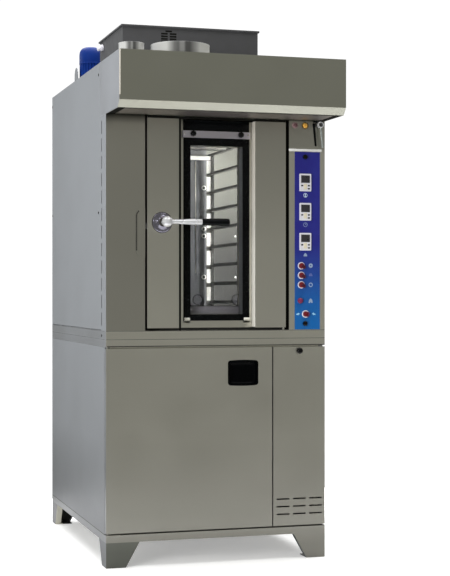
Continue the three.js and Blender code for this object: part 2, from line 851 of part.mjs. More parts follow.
// The tubular heating element: upright legs joined by half-round bends, with both ends led to
// the right wall of the plenum
class HeaterCurve extends THREE.Curve {
  constructor() {
    super();
    const bend = heaterPitch / 2;
    const half = heaterLegLength / 2;
    this.points = [];
    const put = (x, z) => this.points.push(new THREE.Vector3(x, heaterY, z));
    const lastX = heaterFirstX + (heaterLegs - 1) * heaterPitch;
    put(plenumRight - runningGap, heaterCentreZ - half - bend * 2);
    put(heaterFirstX + bend, heaterCentreZ - half - bend * 2);
    for (let i = 1; i <= 4; i += 1) {
      const angle = -Math.PI / 2 - (i * Math.PI) / 8;
      put(heaterFirstX + bend + bend * Math.cos(angle),
        heaterCentreZ - half - bend + bend * Math.sin(angle));
    }
    for (let leg = 0; leg < heaterLegs; leg += 1) {
      const x = heaterFirstX + leg * heaterPitch;
      const up = leg % 2 === 0 ? 1 : -1;
      put(x, heaterCentreZ - up * half * 0.98);
      put(x, heaterCentreZ + up * half);
      if (leg === heaterLegs - 1) break;
      for (let i = 1; i < 5; i += 1) {
        const angle = Math.PI - (i * Math.PI) / 5;
        put(x + bend + bend * Math.cos(angle), heaterCentreZ + up * (half + bend * Math.sin(angle)));
      }
    }
    for (let i = 1; i <= 4; i += 1) {
      const angle = Math.PI + (i * Math.PI) / 8;
      put(lastX + bend + bend * Math.cos(angle), heaterCentreZ - half + bend * Math.sin(angle));
    }
    put(plenumRight - runningGap, heaterCentreZ - half - bend);
  }

  getPoint(t, target = new THREE.Vector3()) {
    const last = this.points.length - 1;
    const place = Math.min(t * last, last - 1e-9);
    const index = Math.floor(place);
    return target.lerpVectors(this.points[index], this.points[index + 1], place - index);
  }

  getPointAt(u, target) {
    return this.getPoint(u, target);
  }
}

function heater() {
  const path = new HeaterCurve();
  const section = new THREE.Shape();
  section.absarc(0, 0, heaterRadius, 0, 2 * Math.PI, false);
  return solid(new THREE.ExtrudeGeometry(section, {
    steps: path.points.length - 1, extrudePath: path, curveSegments: 3, bevelEnabled: false,
  }));
}
piece(body, 'heating_element', heater(), darkSteel);

// ---------------------------------------------------------------- front panels

// A front box: a full-width face over a box that stops short of the side pan
function frontBox(faceLeft, faceRight, boxLeft, boxRight) {
  const face = block(faceLeft, faceRight, 0, sheet, ovenFloor, hoodBottom);
  const inside = block(boxLeft + sheet, boxRight - sheet, sheet, frontDepth + 1,
    ovenFloor + sheet, hoodBottom - sheet);
  return cut(join(face, block(boxLeft, boxRight, sheet / 2, frontDepth, ovenFloor, hoodBottom)),
    inside);
}

// The left fascia carries the raised keeper that the latch closes on
function fascia() {
  const left = fasciaWidth - keeperWidth;
  const r = keeperCorner;
  const pad = new THREE.Shape();
  pad.moveTo(fasciaWidth, keeperBottom);
  pad.lineTo(fasciaWidth, keeperTop);
  pad.absarc(left + r, keeperTop - r, r, Math.PI / 2, Math.PI, false);
  pad.absarc(left + r, keeperBottom + r, r, Math.PI, Math.PI * 1.5, false);
  return join(frontBox(0, fasciaWidth, panelFold, fasciaWidth),
    prismY(pad, -keeperRise, sheet / 2));
}
piece(body, 'left_fascia', fascia(), darkSteel);

const controls = group(body);
const controllerCut = (top, y0, y1, margin) => block(
  controllerX - controllerWidth / 2 + margin, controllerX + controllerWidth / 2 - margin,
  y0, y1, top - controllerHeight + margin, top - margin);
const controllerMargin = 4;
const throughPanel = (radius, x, z, sides) =>
  boss(radius + runningGap, -bezelRise * 2, sheet * 2, x, z, sides);

function controlTools() {
  return [
    ...controllerTops.map((top) => controllerCut(top, -panelSheet - 1, sheet + 1,
      controllerMargin - runningGap)),
    ...rockerZs.map((z) => throughPanel(rockerRadius + runningGap, rockerX, z, buttonSides)),
    throughPanel(pushRadius, pushX, pushZ, buttonSides),
    throughPanel(selectorRadius / 2, selectorX, selectorZ),
    throughPanel(knobRadius / 2, panelKnobX, panelKnobTopZ),
    throughPanel(knobRadius / 2, panelKnobX, panelKnobBottomZ),
  ];
}

function column() {
  const left = width - columnWidth;
  return cut(frontBox(left, width, left, width - panelFold), ...controlTools(),
    boss(lampRadius / 2 + runningGap, -1, sheet + 1, redLampX, lampZ),
    boss(lampRadius / 2 + runningGap, -1, sheet + 1, orangeLampX, lampZ),
    boss(damperStubRadius + runningGap, -1, sheet + 1, damperX, damperZ));
}
piece(controls, 'control_column', column(), satinSteel);

// The blue panel, with the raised rings round the switches and the push button
function controlPanel() {
  const plate = block(panelX, panelX + panelWidth, -panelSheet, 0, panelBottomZ, panelTopZ);
  const ring = (radius, x, z) =>
    boss(radius + bezelWidth, -panelSheet - bezelRise, -panelSheet / 2, x, z, buttonSides);
  return cut(join(plate, ...rockerZs.map((z) => ring(rockerRadius, rockerX, z)),
    ring(pushRadius - 1, pushX, pushZ)), ...controlTools());
}
piece(controls, 'control_panel', controlPanel(), panelBlue);

// A panel-mounted controller: bezel with a sunk display, a row of keys and a body behind
function controller(top) {
  const halfW = controllerWidth / 2;
  const bottom = top - controllerHeight;
  const face = -panelSheet - controllerRise;
  const bezel = block(controllerX - halfW, controllerX + halfW, face, -panelSheet, bottom, top);
  const back = controllerCut(top, -panelSheet - 1, controllerBack, controllerMargin);
  const display = block(controllerX - halfW + displayMargin, controllerX + halfW - displayMargin,
    face - 1, face + displayDepth, top - controllerHeight * displayShare, top - displayMargin);
  const key = (x, z) =>
    block(x - keyWidth / 2, x + keyWidth / 2, face - 1, face + 1, z, z + keyHeight);
  const keys = [];
  const keyPitch = (controllerWidth - keyRowInset * 2) / (keyCount - 1);
  for (let i = 0; i < keyCount; i += 1) {
    keys.push(key(controllerX - halfW + keyRowInset + i * keyPitch, bottom + keyRowRise));
  }
  const lastKey = key(controllerX + halfW - lastKeyInset - keyWidth / 2, bottom + lastKeyRise);
  return join(cut(join(bezel, back), display), ...keys, lastKey);
}
controllerTops.forEach((top, i) => {
  piece(controls, `controller_${i + 1}`, controller(top), whitePlastic);
});

// Pilot lamps: a domed lens on a stub
const lamp = (x) => join(
  turnedY([[0, 0], [lampRadius, 0], [lampRadius, 3], [lampRadius * 0.8, 6], [lampRadius * 0.4, 8],
    [0, 8.5]], x, lampZ),
  boss(lampRadius / 2, -1, 14, x, lampZ));
piece(controls, 'pilot_lamp_red', lamp(redLampX), pinkLens);
piece(controls, 'pilot_lamp_orange', lamp(orangeLampX), orangeLens);

// Rocker switches, each tipped to its off side about its own pivot
rockerZs.forEach((z, i) => {
  const pivot = group(controls, rockerX, -3, z);
  pivot.rotation.x = THREE.MathUtils.degToRad(-rockerTilt);
  const r = rockerRadius;
  piece(pivot, `rocker_switch_${i + 1}`,
    turnedY([[0, -4], [r * 0.7, -4], [r, -1], [r, 3], [r * 0.82, 4.2], [0, 3.4]], 0, 0,
      buttonSides), redPlastic);
});

// The domed push button on its stem
piece(controls, 'push_button', turnedY([[0, -12], [pushRadius * 0.5, -12], [pushRadius * 0.5, -4],
  [pushRadius, -4], [pushRadius, 7], [pushRadius * 0.92, 10], [pushRadius * 0.6, 12.5],
  [0, 13.5]], pushX, pushZ, buttonSides), redPlastic);

// The selector knob with its pointer rib
function selector() {
  const front = -panelSheet - runningGap;
  const knob = prismY(lobed(selectorX, selectorZ, selectorRadius, 9, 1),
    front - selectorGripDepth, front, 4);
  const ribHalf = selectorRibWidth / 2;
  const pointer = block(selectorX - ribHalf, selectorX + ribHalf, front - selectorRibReach,
    front - selectorGripDepth + 2, selectorZ - selectorRadius * 0.9,
    selectorZ + selectorRadius * 0.9);
  return join(knob, pointer, boss(selectorRadius / 2, front - 1, 12, selectorX, selectorZ));
}
piece(controls, 'selector_knob', selector(), redPlastic);

// A black thumb knob with lobes, on a stem, standing proud of the face at y
function thumbKnob(x, z, radius, faceY, depth) {
  const front = faceY - runningGap;
  const grip = prismY(lobed(x, z, radius, 8, radius * 0.1), front - depth, front, 4);
  return join(grip, boss(radius * 0.62, front - depth - 2, front - 1, x, z),
    boss(radius / 2, front - 1, faceY + 10, x, z));
}
piece(controls, 'panel_knob_top',
  thumbKnob(panelKnobX, panelKnobTopZ, knobRadius, -panelSheet, panelKnobDepth), blackPlastic);
piece(controls, 'panel_knob_bottom',
  thumbKnob(panelKnobX, panelKnobBottomZ, knobRadius, -panelSheet, panelKnobDepth), blackPlastic);
piece(base, 'service_panel_knob',
  thumbKnob(serviceKnobX, serviceKnobZ, serviceKnobRadius, 0, serviceKnobDepth), blackPlastic);

// The steam damper lever: ball hub on a stub, with its rod hanging down
function damperLever() {
  const ball = new THREE.SphereGeometry(damperBallRadius, 12, 8);
  ball.translate(damperX, -damperReach, damperZ);
  const arm = new THREE.LatheGeometry([
    new THREE.Vector2(0, 0), new THREE.Vector2(damperRodRadius, 0),
    new THREE.Vector2(damperRodRadius, damperLength - 4),
    new THREE.Vector2(damperRodRadius * 0.6, damperLength), new THREE.Vector2(0, damperLength),
  ], 12);
  arm.rotateX(-Math.PI / 2);
  arm.rotateY(THREE.MathUtils.degToRad(-damperLean));
  arm.translate(damperX, -damperReach, damperZ);
  return join(solid(ball), solid(arm),
    boss(damperStubRadius, -damperReach, 14, damperX, damperZ));
}
piece(controls, 'damper_lever', damperLever(), chrome);

// ---------------------------------------------------------------- hood and flue collars

const hood = group(oven);
const baffle = {
  left: hoodLip, right: width - hoodLip, front: -hoodReach + hoodChamfer + hoodLip, back: -hoodLip,
};
function hoodShell() {
  const profile = (inset, back) => outline([
    [-hoodReach + inset, roofTop - inset],
    [-hoodReach + inset, hoodBottom + hoodChamfer + inset * 0.4],
    [-hoodReach + hoodChamfer + inset * 0.4, hoodBottom + inset], [back, hoodBottom + inset],
    [back, roofTop - inset]]);
  return cut(
    prismX(profile(0, hoodBack), 0, width),
    prismX(profile(sheet, hoodBack + 1), sheet, width - sheet),
    block(baffle.left, baffle.right, baffle.front, baffle.back, hoodBottom - 1,
      hoodBottom + sheet + 1),
    rod(largeCollarRadius - sheet * 3, roofTop - sheet * 2, roofTop + 1, largeCollarX, 0, 32),
    rod(smallCollarRadius - sheet * 3, roofTop - sheet * 2, roofTop + 1, smallCollarX, 0, 24),
    doorPinHole(hoodBottom - 1, hoodBottom + sheet + 1));
}
piece(hood, 'hood_shell', hoodShell(), darkSteel);

// The drip baffle closes the hood from below, with a suction gap all round it
function hoodBaffle() {
  const plate = block(baffle.left + baffleGap, baffle.right - baffleGap,
    baffle.front + baffleGap, baffle.back - baffleGap, hoodBottom, hoodBottom + sheet);
  const strapHalf = 15;
  const straps = [width * 0.2, width * 0.8].map((x) => block(x - strapHalf, x + strapHalf,
    baffle.front - hoodLip / 2, baffle.back + hoodLip / 2, hoodBottom + sheet,
    hoodBottom + sheet * 2));
  return join(plate, ...straps);
}
piece(hood, 'hood_baffle', hoodBaffle(), darkSteel);

const collar = (radius, x, segments) => turnedZ([
  [radius - sheet, roofTop], [radius + collarFlange, roofTop],
  [radius + collarFlange, roofTop + sheet], [radius, roofTop + sheet],
  [radius, roofTop + collarHeight], [radius - sheet, roofTop + collarHeight],
  [radius - sheet, roofTop]], x, 0, segments);
piece(hood, 'flue_collar_large', collar(largeCollarRadius, largeCollarX, 36), brightSteel);
piece(hood, 'flue_collar_small', collar(smallCollarRadius, smallCollarX, 24), brightSteel);

// ---------------------------------------------------------------- oven door

const doorBottom = ovenFloor + doorBottomGap;
const doorTop = hoodBottom - doorTopGap;
const door = group(oven);

// Seen from above, the casing is a U: two deep strips and the window slab between them
function doorPlan(inset) {
  return outline([
    [doorLeft + inset, inset], [recessLeft - inset, inset],
    [recessLeft + recessDraft - inset, recessDepth + inset],
    [recessRight + inset, recessDepth + inset], [recessRight + inset, inset],
    [doorRight - inset, inset], [doorRight - inset, doorDepth - inset],
    [doorLeft + doorTaper + inset, doorDepth - inset],
    [doorLeft + inset, doorDepth * 0.6]]);
}
const windowBlock = (frame, y0, y1, margin = 0) => block(frame.left - margin, frame.right + margin,
  y0, y1, frame.bottom - margin, frame.top + margin);

function doorCasing() {
  const rebate = 6;
  const outer = prismZ(doorPlan(0), doorBottom, doorTop);
  const hollow = prismZ(doorPlan(doorWall), doorBottom + doorWall, doorTop - doorWall);
  const reveal = windowBlock(windowReveal, recessDepth, doorDepth, doorWall);
  const shell = cut(outer, cut(hollow, reveal));
  const boltHole = block(doorLeft - 1, doorLeft + boltLength, boltY - boltDepth / 2 - runningGap,
    boltY + boltDepth / 2 + runningGap, boltZ - boltHeight / 2 - runningGap,
    boltZ + boltHeight / 2 + runningGap);
  const spindleHole = boss(spindleHoleRadius, -1, doorWall + 1, latchX, latchZ);
  const topNotch = block(recessLeft + recessDraft, recessRight, recessDepth - 1,
    recessDepth + doorWall - 1, clampBarBottom + clampBarHeight, doorTop + 1);
  const clipFace = recessDepth - glassThickness;
  const clips = clipXs.map((x) => join(
    block(x - clipWidth / 2, x + clipWidth / 2, clipFace - clipSheet, clipFace,
      outerGlass.bottom - clipDrop, outerGlass.bottom + clipHold),
    block(x - clipWidth / 2, x + clipWidth / 2, clipFace - 1, recessDepth + 1,
      outerGlass.bottom - clipDrop, outerGlass.bottom)));
  const knobHoles = glassKnobXs.map((x) => boss(knobRadius / 2 + runningGap, recessDepth - 1,
    recessDepth + doorWall + 1, x, glassKnobZ));
  const pins = [[doorBottom - doorPinLength, doorBottom + doorPinLength],
    [doorTop - doorPinLength, doorTop + doorPinLength]]
    .map(([z0, z1]) => rod(doorPinRadius, z0, z1, doorPinX, doorHingeDepth, pinSides));
  return join(cut(shell, windowBlock(windowReveal, recessDepth - 1, doorDepth - rebate),
    windowBlock(windowBack, recessDepth, doorDepth + 1), boltHole, spindleHole, topNotch,
    ...knobHoles), ...clips, ...pins);
}
piece(door, 'door_casing', doorCasing(), satinSteel);

piece(door, 'door_outer_glass', windowBlock(outerGlass, recessDepth - glassThickness, recessDepth),
  glass);
piece(door, 'door_inner_glass',
  windowBlock(windowBack, doorDepth, doorDepth + glassThickness - 1, innerGlassMargin), glass);

// The bar that clamps the head of the outer glass, rebated over it
function clampBar() {
  const left = clampBarLeft;
  const right = outerGlass.right;
  const bar = block(left, right, recessDepth - clampBarDepth, recessDepth, clampBarBottom,
    clampBarBottom + clampBarHeight);
  const rebate = block(left - 1, right + 1, recessDepth - glassThickness, recessDepth + 1,
    clampBarBottom - 1, outerGlass.top);
  const holes = glassKnobXs.map((x) => boss(knobRadius / 2 + runningGap, 0, recessDepth + 1, x,
    glassKnobZ));
  return cut(bar, rebate, ...holes);
}
piece(door, 'glass_clamp_bar', clampBar(), satinSteel);

const clampFace = recessDepth - clampBarDepth;
piece(door, 'glass_knob_left',
  thumbKnob(glassKnobXs[0], glassKnobZ, knobRadius, clampFace, glassKnobDepth), blackPlastic);
piece(door, 'glass_knob_right',
  thumbKnob(glassKnobXs[1], glassKnobZ, knobRadius, clampFace, glassKnobDepth), blackPlastic);

// The gasket round the back of the door, pressed against the liner's front plate
function gasket() {
  const ring = (inset) => rectangle(doorLeft + doorTaper + gasketInset + inset,
    doorRight - gasketInset - inset, doorBottom + gasketInset + inset,
    doorTop - gasketInset - inset);
  const shape = ring(0);
  shape.holes.push(ring(gasketWidth));
  return prismY(shape, doorDepth, frontDepth - runningGap);
}
piece(door, 'door_gasket', gasket(), blackRubber);

// ---------------------------------------------------------------- door latch

const latch = group(door);
piece(door, 'latch_rosette', turnedY([[spindleHoleRadius, 0], [rosetteRadius, 0],
  [rosetteRadius, rosetteRim], [rosetteRadius * 0.85, rosetteDepth],
  [rosetteRadius * 0.5, rosetteDepth * 1.8], [rosetteCollar, rosetteDepth * 2],
  [spindleHoleRadius, rosetteDepth * 2], [spindleHoleRadius, 0]], latchX, latchZ, 28), chrome);

// The lever: spindle, ball hub and a slightly swelling arm
function lever() {
  const ball = new THREE.SphereGeometry(ballRadius, 16, 8);
  ball.translate(latchX, -latchReach, latchZ);
  const arm = rodX([[0, latchX], [leverNeckRadius, latchX],
    [leverNeckRadius, latchX + ballRadius + 3], [leverMiddleRadius, latchX + leverLength * 0.4],
    [leverEndRadius, latchX + leverLength * 0.8], [leverEndRadius, latchX + leverLength],
    [tangRadius, latchX + leverLength],
    [tangRadius, latchX + leverLength + tangLength], [0, latchX + leverLength + tangLength]],
    -latchReach, latchZ);
  return join(solid(ball), arm, boss(spindleRadius, -latchReach,
    boltY - boltDepth / 2 - 1, latchX, latchZ));
}
piece(latch, 'latch_lever', lever(), chrome);

function grip() {
  const start = latchX + leverLength + runningGap;
  const end = latchX + leverLength + gripLength;
  return rodX([[tangRadius + runningGap, start], [gripRadius * 0.9, start],
    [gripRadius, start + 8], [gripRadius, end - 6], [gripRadius * 0.8, end], [0, end],
    [0, start + tangLength + 4], [tangRadius + runningGap, start + tangLength + 4],
    [tangRadius + runningGap, start]], -latchReach, latchZ);
}
piece(latch, 'latch_grip', grip(), blackPlastic);

// The bolt slides in the casing's left edge, drawn back by the spindle
piece(door, 'latch_bolt', block(doorLeft - boltTip, doorLeft + boltLength - 14,
  boltY - boltDepth / 2, boltY + boltDepth / 2, boltZ - boltHeight / 2,
  boltZ + boltHeight / 2), brightSteel);

// ---------------------------------------------------------------- rack

const rack = group(oven, rackCentreX, rackCentreY, 0);
const halfRack = rackWidth / 2;
const halfLength = rackLength / 2;

// The hoop: top and bottom frames, four posts, the hanger shaft and the foot pin
function rackFrame() {
  const ring = (z0, z1) => {
    const shape = rectangle(-halfRack, halfRack, -halfLength, halfLength);
    shape.holes.push(rectangle(-halfRack + rackBar, halfRack - rackBar, -halfLength + rackBar,
      halfLength - rackBar));
    return prismZ(shape, z0, z1);
  };
  const crossBar = (z0, z1) => block(-halfRack + 1, halfRack - 1, -rackBar, rackBar, z0, z1);
  const posts = [];
  for (const side of [-1, 1]) {
    const x0 = side < 0 ? -halfRack : halfRack - rackSheet;
    posts.push(block(x0, x0 + rackSheet, -halfLength, -halfLength + rackBar, rackBottomZ, rackTopZ));
    posts.push(block(x0, x0 + rackSheet, halfLength - rackBar, halfLength, rackBottomZ, rackTopZ));
    const f0 = side < 0 ? -halfRack : halfRack - rackBar;
    posts.push(block(f0, f0 + rackBar, halfLength - rackSheet, halfLength, rackBottomZ, rackTopZ));
  }
  const barHeight = 6;
  return join(
    ring(rackTopZ - barHeight, rackTopZ), ring(rackBottomZ, rackBottomZ + barHeight),
    block(-halfRack, halfRack, halfLength - rackSheet, halfLength, rackTopZ - rackBar, rackTopZ),
    crossBar(rackTopZ - barHeight, rackTopZ), crossBar(rackBottomZ, rackBottomZ + barHeight),
    rod(hubRadius, rackTopZ - barHeight, rackTopZ + 14, 0, 0),
    rod(rackShaftRadius, rackTopZ, roofTop + gearboxHeight * 0.7, 0, 0),
    rod(rackPinRadius, chamberFloorZ + sheet + 2, rackBottomZ + 1, 0, 0), ...posts);
}
piece(rack, 'rack_frame', rackFrame(), brightSteel);

// A ladder of tray runners for one side: angles on two flat uprights
function ladder(side) {
  const outer = halfRack - rackSheet;
  const inner = outer - rackSheet;
  const span = (a, b) => (side > 0 ? [a, b] : [-b, -a]);
  const bars = [];
  for (let i = 0; i < runnerCount; i += 1) {
    const z = runnerFirstZ + i * runnerPitch;
    bars.push(block(...span(outer - runnerLedge, outer), -halfLength + rackSheet + 1,
      halfLength - rackSheet - 1, z - rackSheet, z));
    bars.push(block(...span(inner, outer), -halfLength + rackSheet + 1,
      halfLength - rackSheet - 1, z - rackSheet, z + runnerLip));
  }
  const uprights = [-1, 1].map((end) => {
    const y = end * (halfLength - rackBar * 2);
    return block(...span(inner, outer), y - rackBar / 2, y + rackBar / 2, rackBottomZ + 6,
      rackTopZ - 6);
  });
  return join(...uprights, ...bars);
}
piece(rack, 'tray_ladder_left', ladder(-1), brightSteel);
piece(rack, 'tray_ladder_right', ladder(1), brightSteel);

// ---------------------------------------------------------------- roof machinery

const machinery = group(oven);

// The drive housing: a cover pan with an overhanging lid, a block of louvres under one centred
// louvre, and a drooping cable gland on its left side
const louvre = (x, z) =>
  block(x, x + louvreLength, housingY - 1, housingY + sheet + 1, z, z + louvreHeight);
function housingGland() {
  const geometry = new THREE.LatheGeometry([
    [0, 0], [housingGlandNutRadius, 0], [housingGlandNutRadius, housingGlandNut],
    [housingGlandRadius, housingGlandNut], [housingGlandRadius, housingGlandReach],
    [0, housingGlandReach]].map(([radius, reach]) => new THREE.Vector2(radius, reach)), pinSides);
  geometry.rotateX(Math.PI / 2);
  geometry.rotateY(THREE.MathUtils.degToRad(-90 - housingGlandDroop));
  geometry.translate(housingX + sheet / 2, housingGlandY, roofTop + housingGlandRise);
  return solid(geometry);
}
function driveHousing() {
  const x1 = housingX + housingWidth;
  const y1 = housingY + housingDepth;
  const top = roofTop + housingHeight;
  const louvres = [];
  for (let row = 0; row < louvreRows; row += 1) {
    for (let column = 0; column < louvreColumns; column += 1) {
      louvres.push(louvre(louvreX + column * louvrePitchX, louvreZ + row * louvrePitchZ));
    }
  }
  const middle = louvreX + ((louvreColumns - 1) * louvrePitchX) / 2;
  louvres.push(louvre(middle, louvreZ + louvreRows * louvrePitchZ));
  const lid = block(housingX - lidOverhang, x1 + lidOverhang, housingY - lidOverhang,
    y1 + lidOverhang, top - lidThickness, top);
  const cover = block(housingX, x1, housingY, y1, roofTop, top);
  const outerGland = housingGland().trimByPlane([-1, 0, 0], -(housingX + sheet / 2));
  return cut(join(cover, lid), block(housingX + sheet, x1 - sheet, housingY + sheet, y1 - sheet,
    roofTop - 1, top - sheet), ...louvres).add(outerGland);
}
piece(machinery, 'drive_housing', driveHousing(), greyPaint);

// The gearmotor that turns the rack: gear case with a hollow shaft, and its motor on top
function gearmotor() {
  const half = gearboxSize / 2;
  const caseTop = roofTop + gearboxHeight;
  const gearCase = block(rackCentreX - half, rackCentreX + half, rackCentreY - half,
    rackCentreY + half, roofTop, caseTop);
  const motor = turnedZ([[0, caseTop - 1], [gearMotorRadius * 0.8, caseTop - 1],
    [gearMotorRadius * 0.8, caseTop + 6], [gearMotorRadius, caseTop + 6],
    [gearMotorRadius, caseTop + gearMotorHeight - 14],
    [gearMotorRadius * 0.85, caseTop + gearMotorHeight], [0, caseTop + gearMotorHeight]],
    rackCentreX, rackCentreY);
  return cut(join(gearCase, motor), rackShaftHole(roofTop - 1, roofTop + gearboxHeight * 0.7 + 2,
    runningGap));
}
piece(machinery, 'rack_gearmotor', gearmotor(), motorBlue);

// The fan motor: flange, finned body and rounded cowl
function fanMotor() {
  const finTip = motorRadius - 1;
  const finRoot = finTip - motorFinDepth;
  const points = [];
  for (let i = 0; i < motorFins; i += 1) {
    const step = (2 * Math.PI) / motorFins;
    for (const [share, radius] of [[0, finTip], [0.35, finTip], [0.5, finRoot], [0.85, finRoot]]) {
      const angle = (i + share) * step;
      points.push([fanX + radius * Math.cos(angle), fanY + radius * Math.sin(angle)]);
    }
  }
  const fins = prismZ(outline(points), roofTop + motorFlangeHeight - 1, motorCowlBaseZ + 1);
  const dome = motorTopZ - motorCowlBaseZ;
  const cowl = turnedZ([[0, motorCowlBaseZ], [motorRadius, motorCowlBaseZ],
    [motorRadius, motorCowlBaseZ + dome * 0.45], [motorRadius * 0.94, motorCowlBaseZ + dome * 0.7],
    [motorRadius * 0.78, motorCowlBaseZ + dome * 0.9], [motorRadius * 0.55, motorTopZ],
    [0, motorTopZ]], fanX, fanY, 24);
  const flange = rod(motorRadius + motorFlangeMargin, roofTop, roofTop + motorFlangeHeight, fanX,
    fanY, 24);
  return cut(join(fins, cowl, flange),
    fanShaftHole(roofTop - 1, roofTop + fanShaftReach + 2, runningGap));
}
piece(machinery, 'fan_motor', fanMotor(), motorBlue);

// The circulation fan: a squirrel cage of forward blades under a back plate, on its long shaft
function impeller() {
  const bottom = impellerTopZ - impellerHeight;
  const blades = [];
  const innerRadius = impellerRadius * 0.72;
  for (let i = 0; i < bladeCount; i += 1) {
    const angle = (i / bladeCount) * 2 * Math.PI;
    const lead = 0.16;
    const at = (radius, turn) => [radius * Math.cos(angle + turn), radius * Math.sin(angle + turn)];
    blades.push(prismZ(outline([at(innerRadius, 0), at(impellerRadius - 1, lead),
      at(impellerRadius - 1, lead + 0.02), at(innerRadius, 0.03)]), bottom + 2, impellerTopZ - 2));
  }
  const plate = rod(impellerRadius, impellerTopZ - 4, impellerTopZ, 0, 0, 24);
  const ring = turnedZ([[innerRadius - 4, bottom], [impellerRadius, bottom],
    [impellerRadius, bottom + 4], [innerRadius - 4, bottom + 4], [innerRadius - 4, bottom]], 0, 0, 24);
  const shaft = rod(fanShaftRadius, impellerTopZ - hubDepth + 10, roofTop + fanShaftReach, 0, 0,
    shaftSides);
  const hub = rod(fanHubRadius, impellerTopZ - hubDepth, impellerTopZ, 0, 0, shaftSides);
  return join(plate, ring, hub, shaft, ...blades);
}
piece(group(machinery, fanX, fanY, 0), 'fan_impeller', impeller(), brightSteel);

// ---------------------------------------------------------------- origin at the base's centre

oven.position.set(-width / 2, -(bodyDepth - hoodReach) / 2, 0);
export default oven;
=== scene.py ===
# %% [markdown]
# # A rotating rack oven
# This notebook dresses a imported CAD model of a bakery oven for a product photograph. The CAD
# solids already have the right size and place, so most sheet metal is kept as it is and only gets
# a finish. The round and moulded parts, which CAD holds as coarse facets, are built again here.
# Everything is in metres, in the frame's own axes: +Z up and +Y from the front to the rear.

# %% Load the frame
import math
import bmesh
import bpy
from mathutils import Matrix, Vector


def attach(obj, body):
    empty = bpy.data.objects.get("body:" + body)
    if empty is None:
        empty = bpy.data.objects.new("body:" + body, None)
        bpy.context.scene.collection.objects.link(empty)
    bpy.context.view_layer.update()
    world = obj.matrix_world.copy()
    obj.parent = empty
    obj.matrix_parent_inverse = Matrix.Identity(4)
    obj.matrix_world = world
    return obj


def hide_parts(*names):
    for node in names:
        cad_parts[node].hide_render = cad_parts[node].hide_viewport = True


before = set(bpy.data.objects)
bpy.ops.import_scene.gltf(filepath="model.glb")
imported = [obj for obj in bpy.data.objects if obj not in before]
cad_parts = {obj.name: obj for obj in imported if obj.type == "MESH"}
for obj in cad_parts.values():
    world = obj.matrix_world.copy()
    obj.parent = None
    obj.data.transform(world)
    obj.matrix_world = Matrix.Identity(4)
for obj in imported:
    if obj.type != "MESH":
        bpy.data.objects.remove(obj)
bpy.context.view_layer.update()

# %% [markdown]
# ## Measuring from a corner
# The oven was drawn in millimetres from its left front corner on the floor. One small function
# turns such a point into the frame's metres, so every number below can be read off the drawing.

# %% A point on the drawing
CORNER = Vector((460, 490, 0))


def spot(x, y, z):
    return (Vector((x, y, z)) - CORNER) / 1000


print("the oven door's pin stands at", spot(742, 10, 1370))

# %% [markdown]
# ## Effects that several finishes share
# Rolled and brushed sheet shows fine lines in one direction, and every used surface has soft
# clouds where hands and cloths have been. Both could be painted into each material, but a node
# group is built once and placed in each with its own numbers. The groups give only values and
# colours.

# %% Helpers that place and wire nodes
def feed(socket, value):
    """Wires another socket to this one, or sets it to a plain number, vector or colour."""
    if isinstance(value, bpy.types.NodeSocket):
        socket.id_data.links.new(value, socket)
    else:
        socket.default_value = value


def feed_all(node, **values):
    for label, value in values.items():
        feed(node.inputs[label.replace("_", " ")], value)


def calculate(tree, operation, *values, kind="ShaderNodeMath", out=0):
    node = tree.nodes.new(kind)
    node.operation = operation
    for socket, value in zip(node.inputs, values):
        feed(socket, value)
    return node.outputs[out]


VECTORS = "ShaderNodeVectorMath"


def point_part(tree, part=None, source="Object"):
    """A surface point's own place, or its normal, or one part of either."""
    point = tree.nodes.new("ShaderNodeTexCoord").outputs[source]
    if part is None:
        return point
    split = tree.nodes.new("ShaderNodeSeparateXYZ")
    feed_all(split, Vector=point)
    return split.outputs[part]


def stretch_range(tree, value, low_in, high_in, low_out, high_out, curve="SMOOTHSTEP"):
    """Spreads a value from one span to another; the ends may be numbers or sockets."""
    spread = tree.nodes.new("ShaderNodeMapRange")
    spread.interpolation_type = curve
    for socket, end in zip(spread.inputs, (value, low_in, high_in, low_out, high_out)):
        feed(socket, end)
    return spread.outputs["Result"]


def add_noise(tree, place, scale, detail, roughness=0.5):
    noise = tree.nodes.new("ShaderNodeTexNoise")
    feed_all(noise, Vector=place, Scale=scale, Detail=detail, Roughness=roughness)
    return noise.outputs["Fac"]


def grey_ramp(tree, share, stops):
    node = tree.nodes.new("ShaderNodeValToRGB")
    marks = node.color_ramp.elements
    while len(marks) < len(stops):
        marks.new(0.5)
    for mark, (position, value) in zip(marks, stops):
        mark.position = position
        mark.color = (value, value, value, 1)
    feed_all(node, Fac=share)
    return node.outputs["Color"]


def start_group(name, outputs, kind="Float", **inputs):
    tree = bpy.data.node_groups.new(name, "ShaderNodeTree")
    for label, value in inputs.items():
        shape = "NodeSocketVector" if isinstance(value, tuple) else "NodeSocketFloat"
        socket = tree.interface.new_socket(label.replace("_", " "), in_out="INPUT",
                                           socket_type=shape)
        socket.default_value = value
    for label in outputs:
        tree.interface.new_socket(label, in_out="OUTPUT", socket_type="NodeSocket" + kind)
    enter, leave = tree.nodes.new("NodeGroupInput"), tree.nodes.new("NodeGroupOutput")
    return tree, enter.outputs, leave


# %% Lines left by rolling and brushing
GRAIN, enter, leave = start_group("rolled_grain", ["Lines"], Stretch=(40.0, 40.0, 900.0),
                                  Contrast=0.5)
place = calculate(GRAIN, "MULTIPLY", point_part(GRAIN), enter["Stretch"], kind=VECTORS)
centred = stretch_range(GRAIN, add_noise(GRAIN, place, 1.0, 4.0, 0.65), 0.15, 0.85, -0.5, 0.5)
feed_all(leave, Lines=calculate(GRAIN, "MULTIPLY_ADD", centred, enter["Contrast"], 0.5))

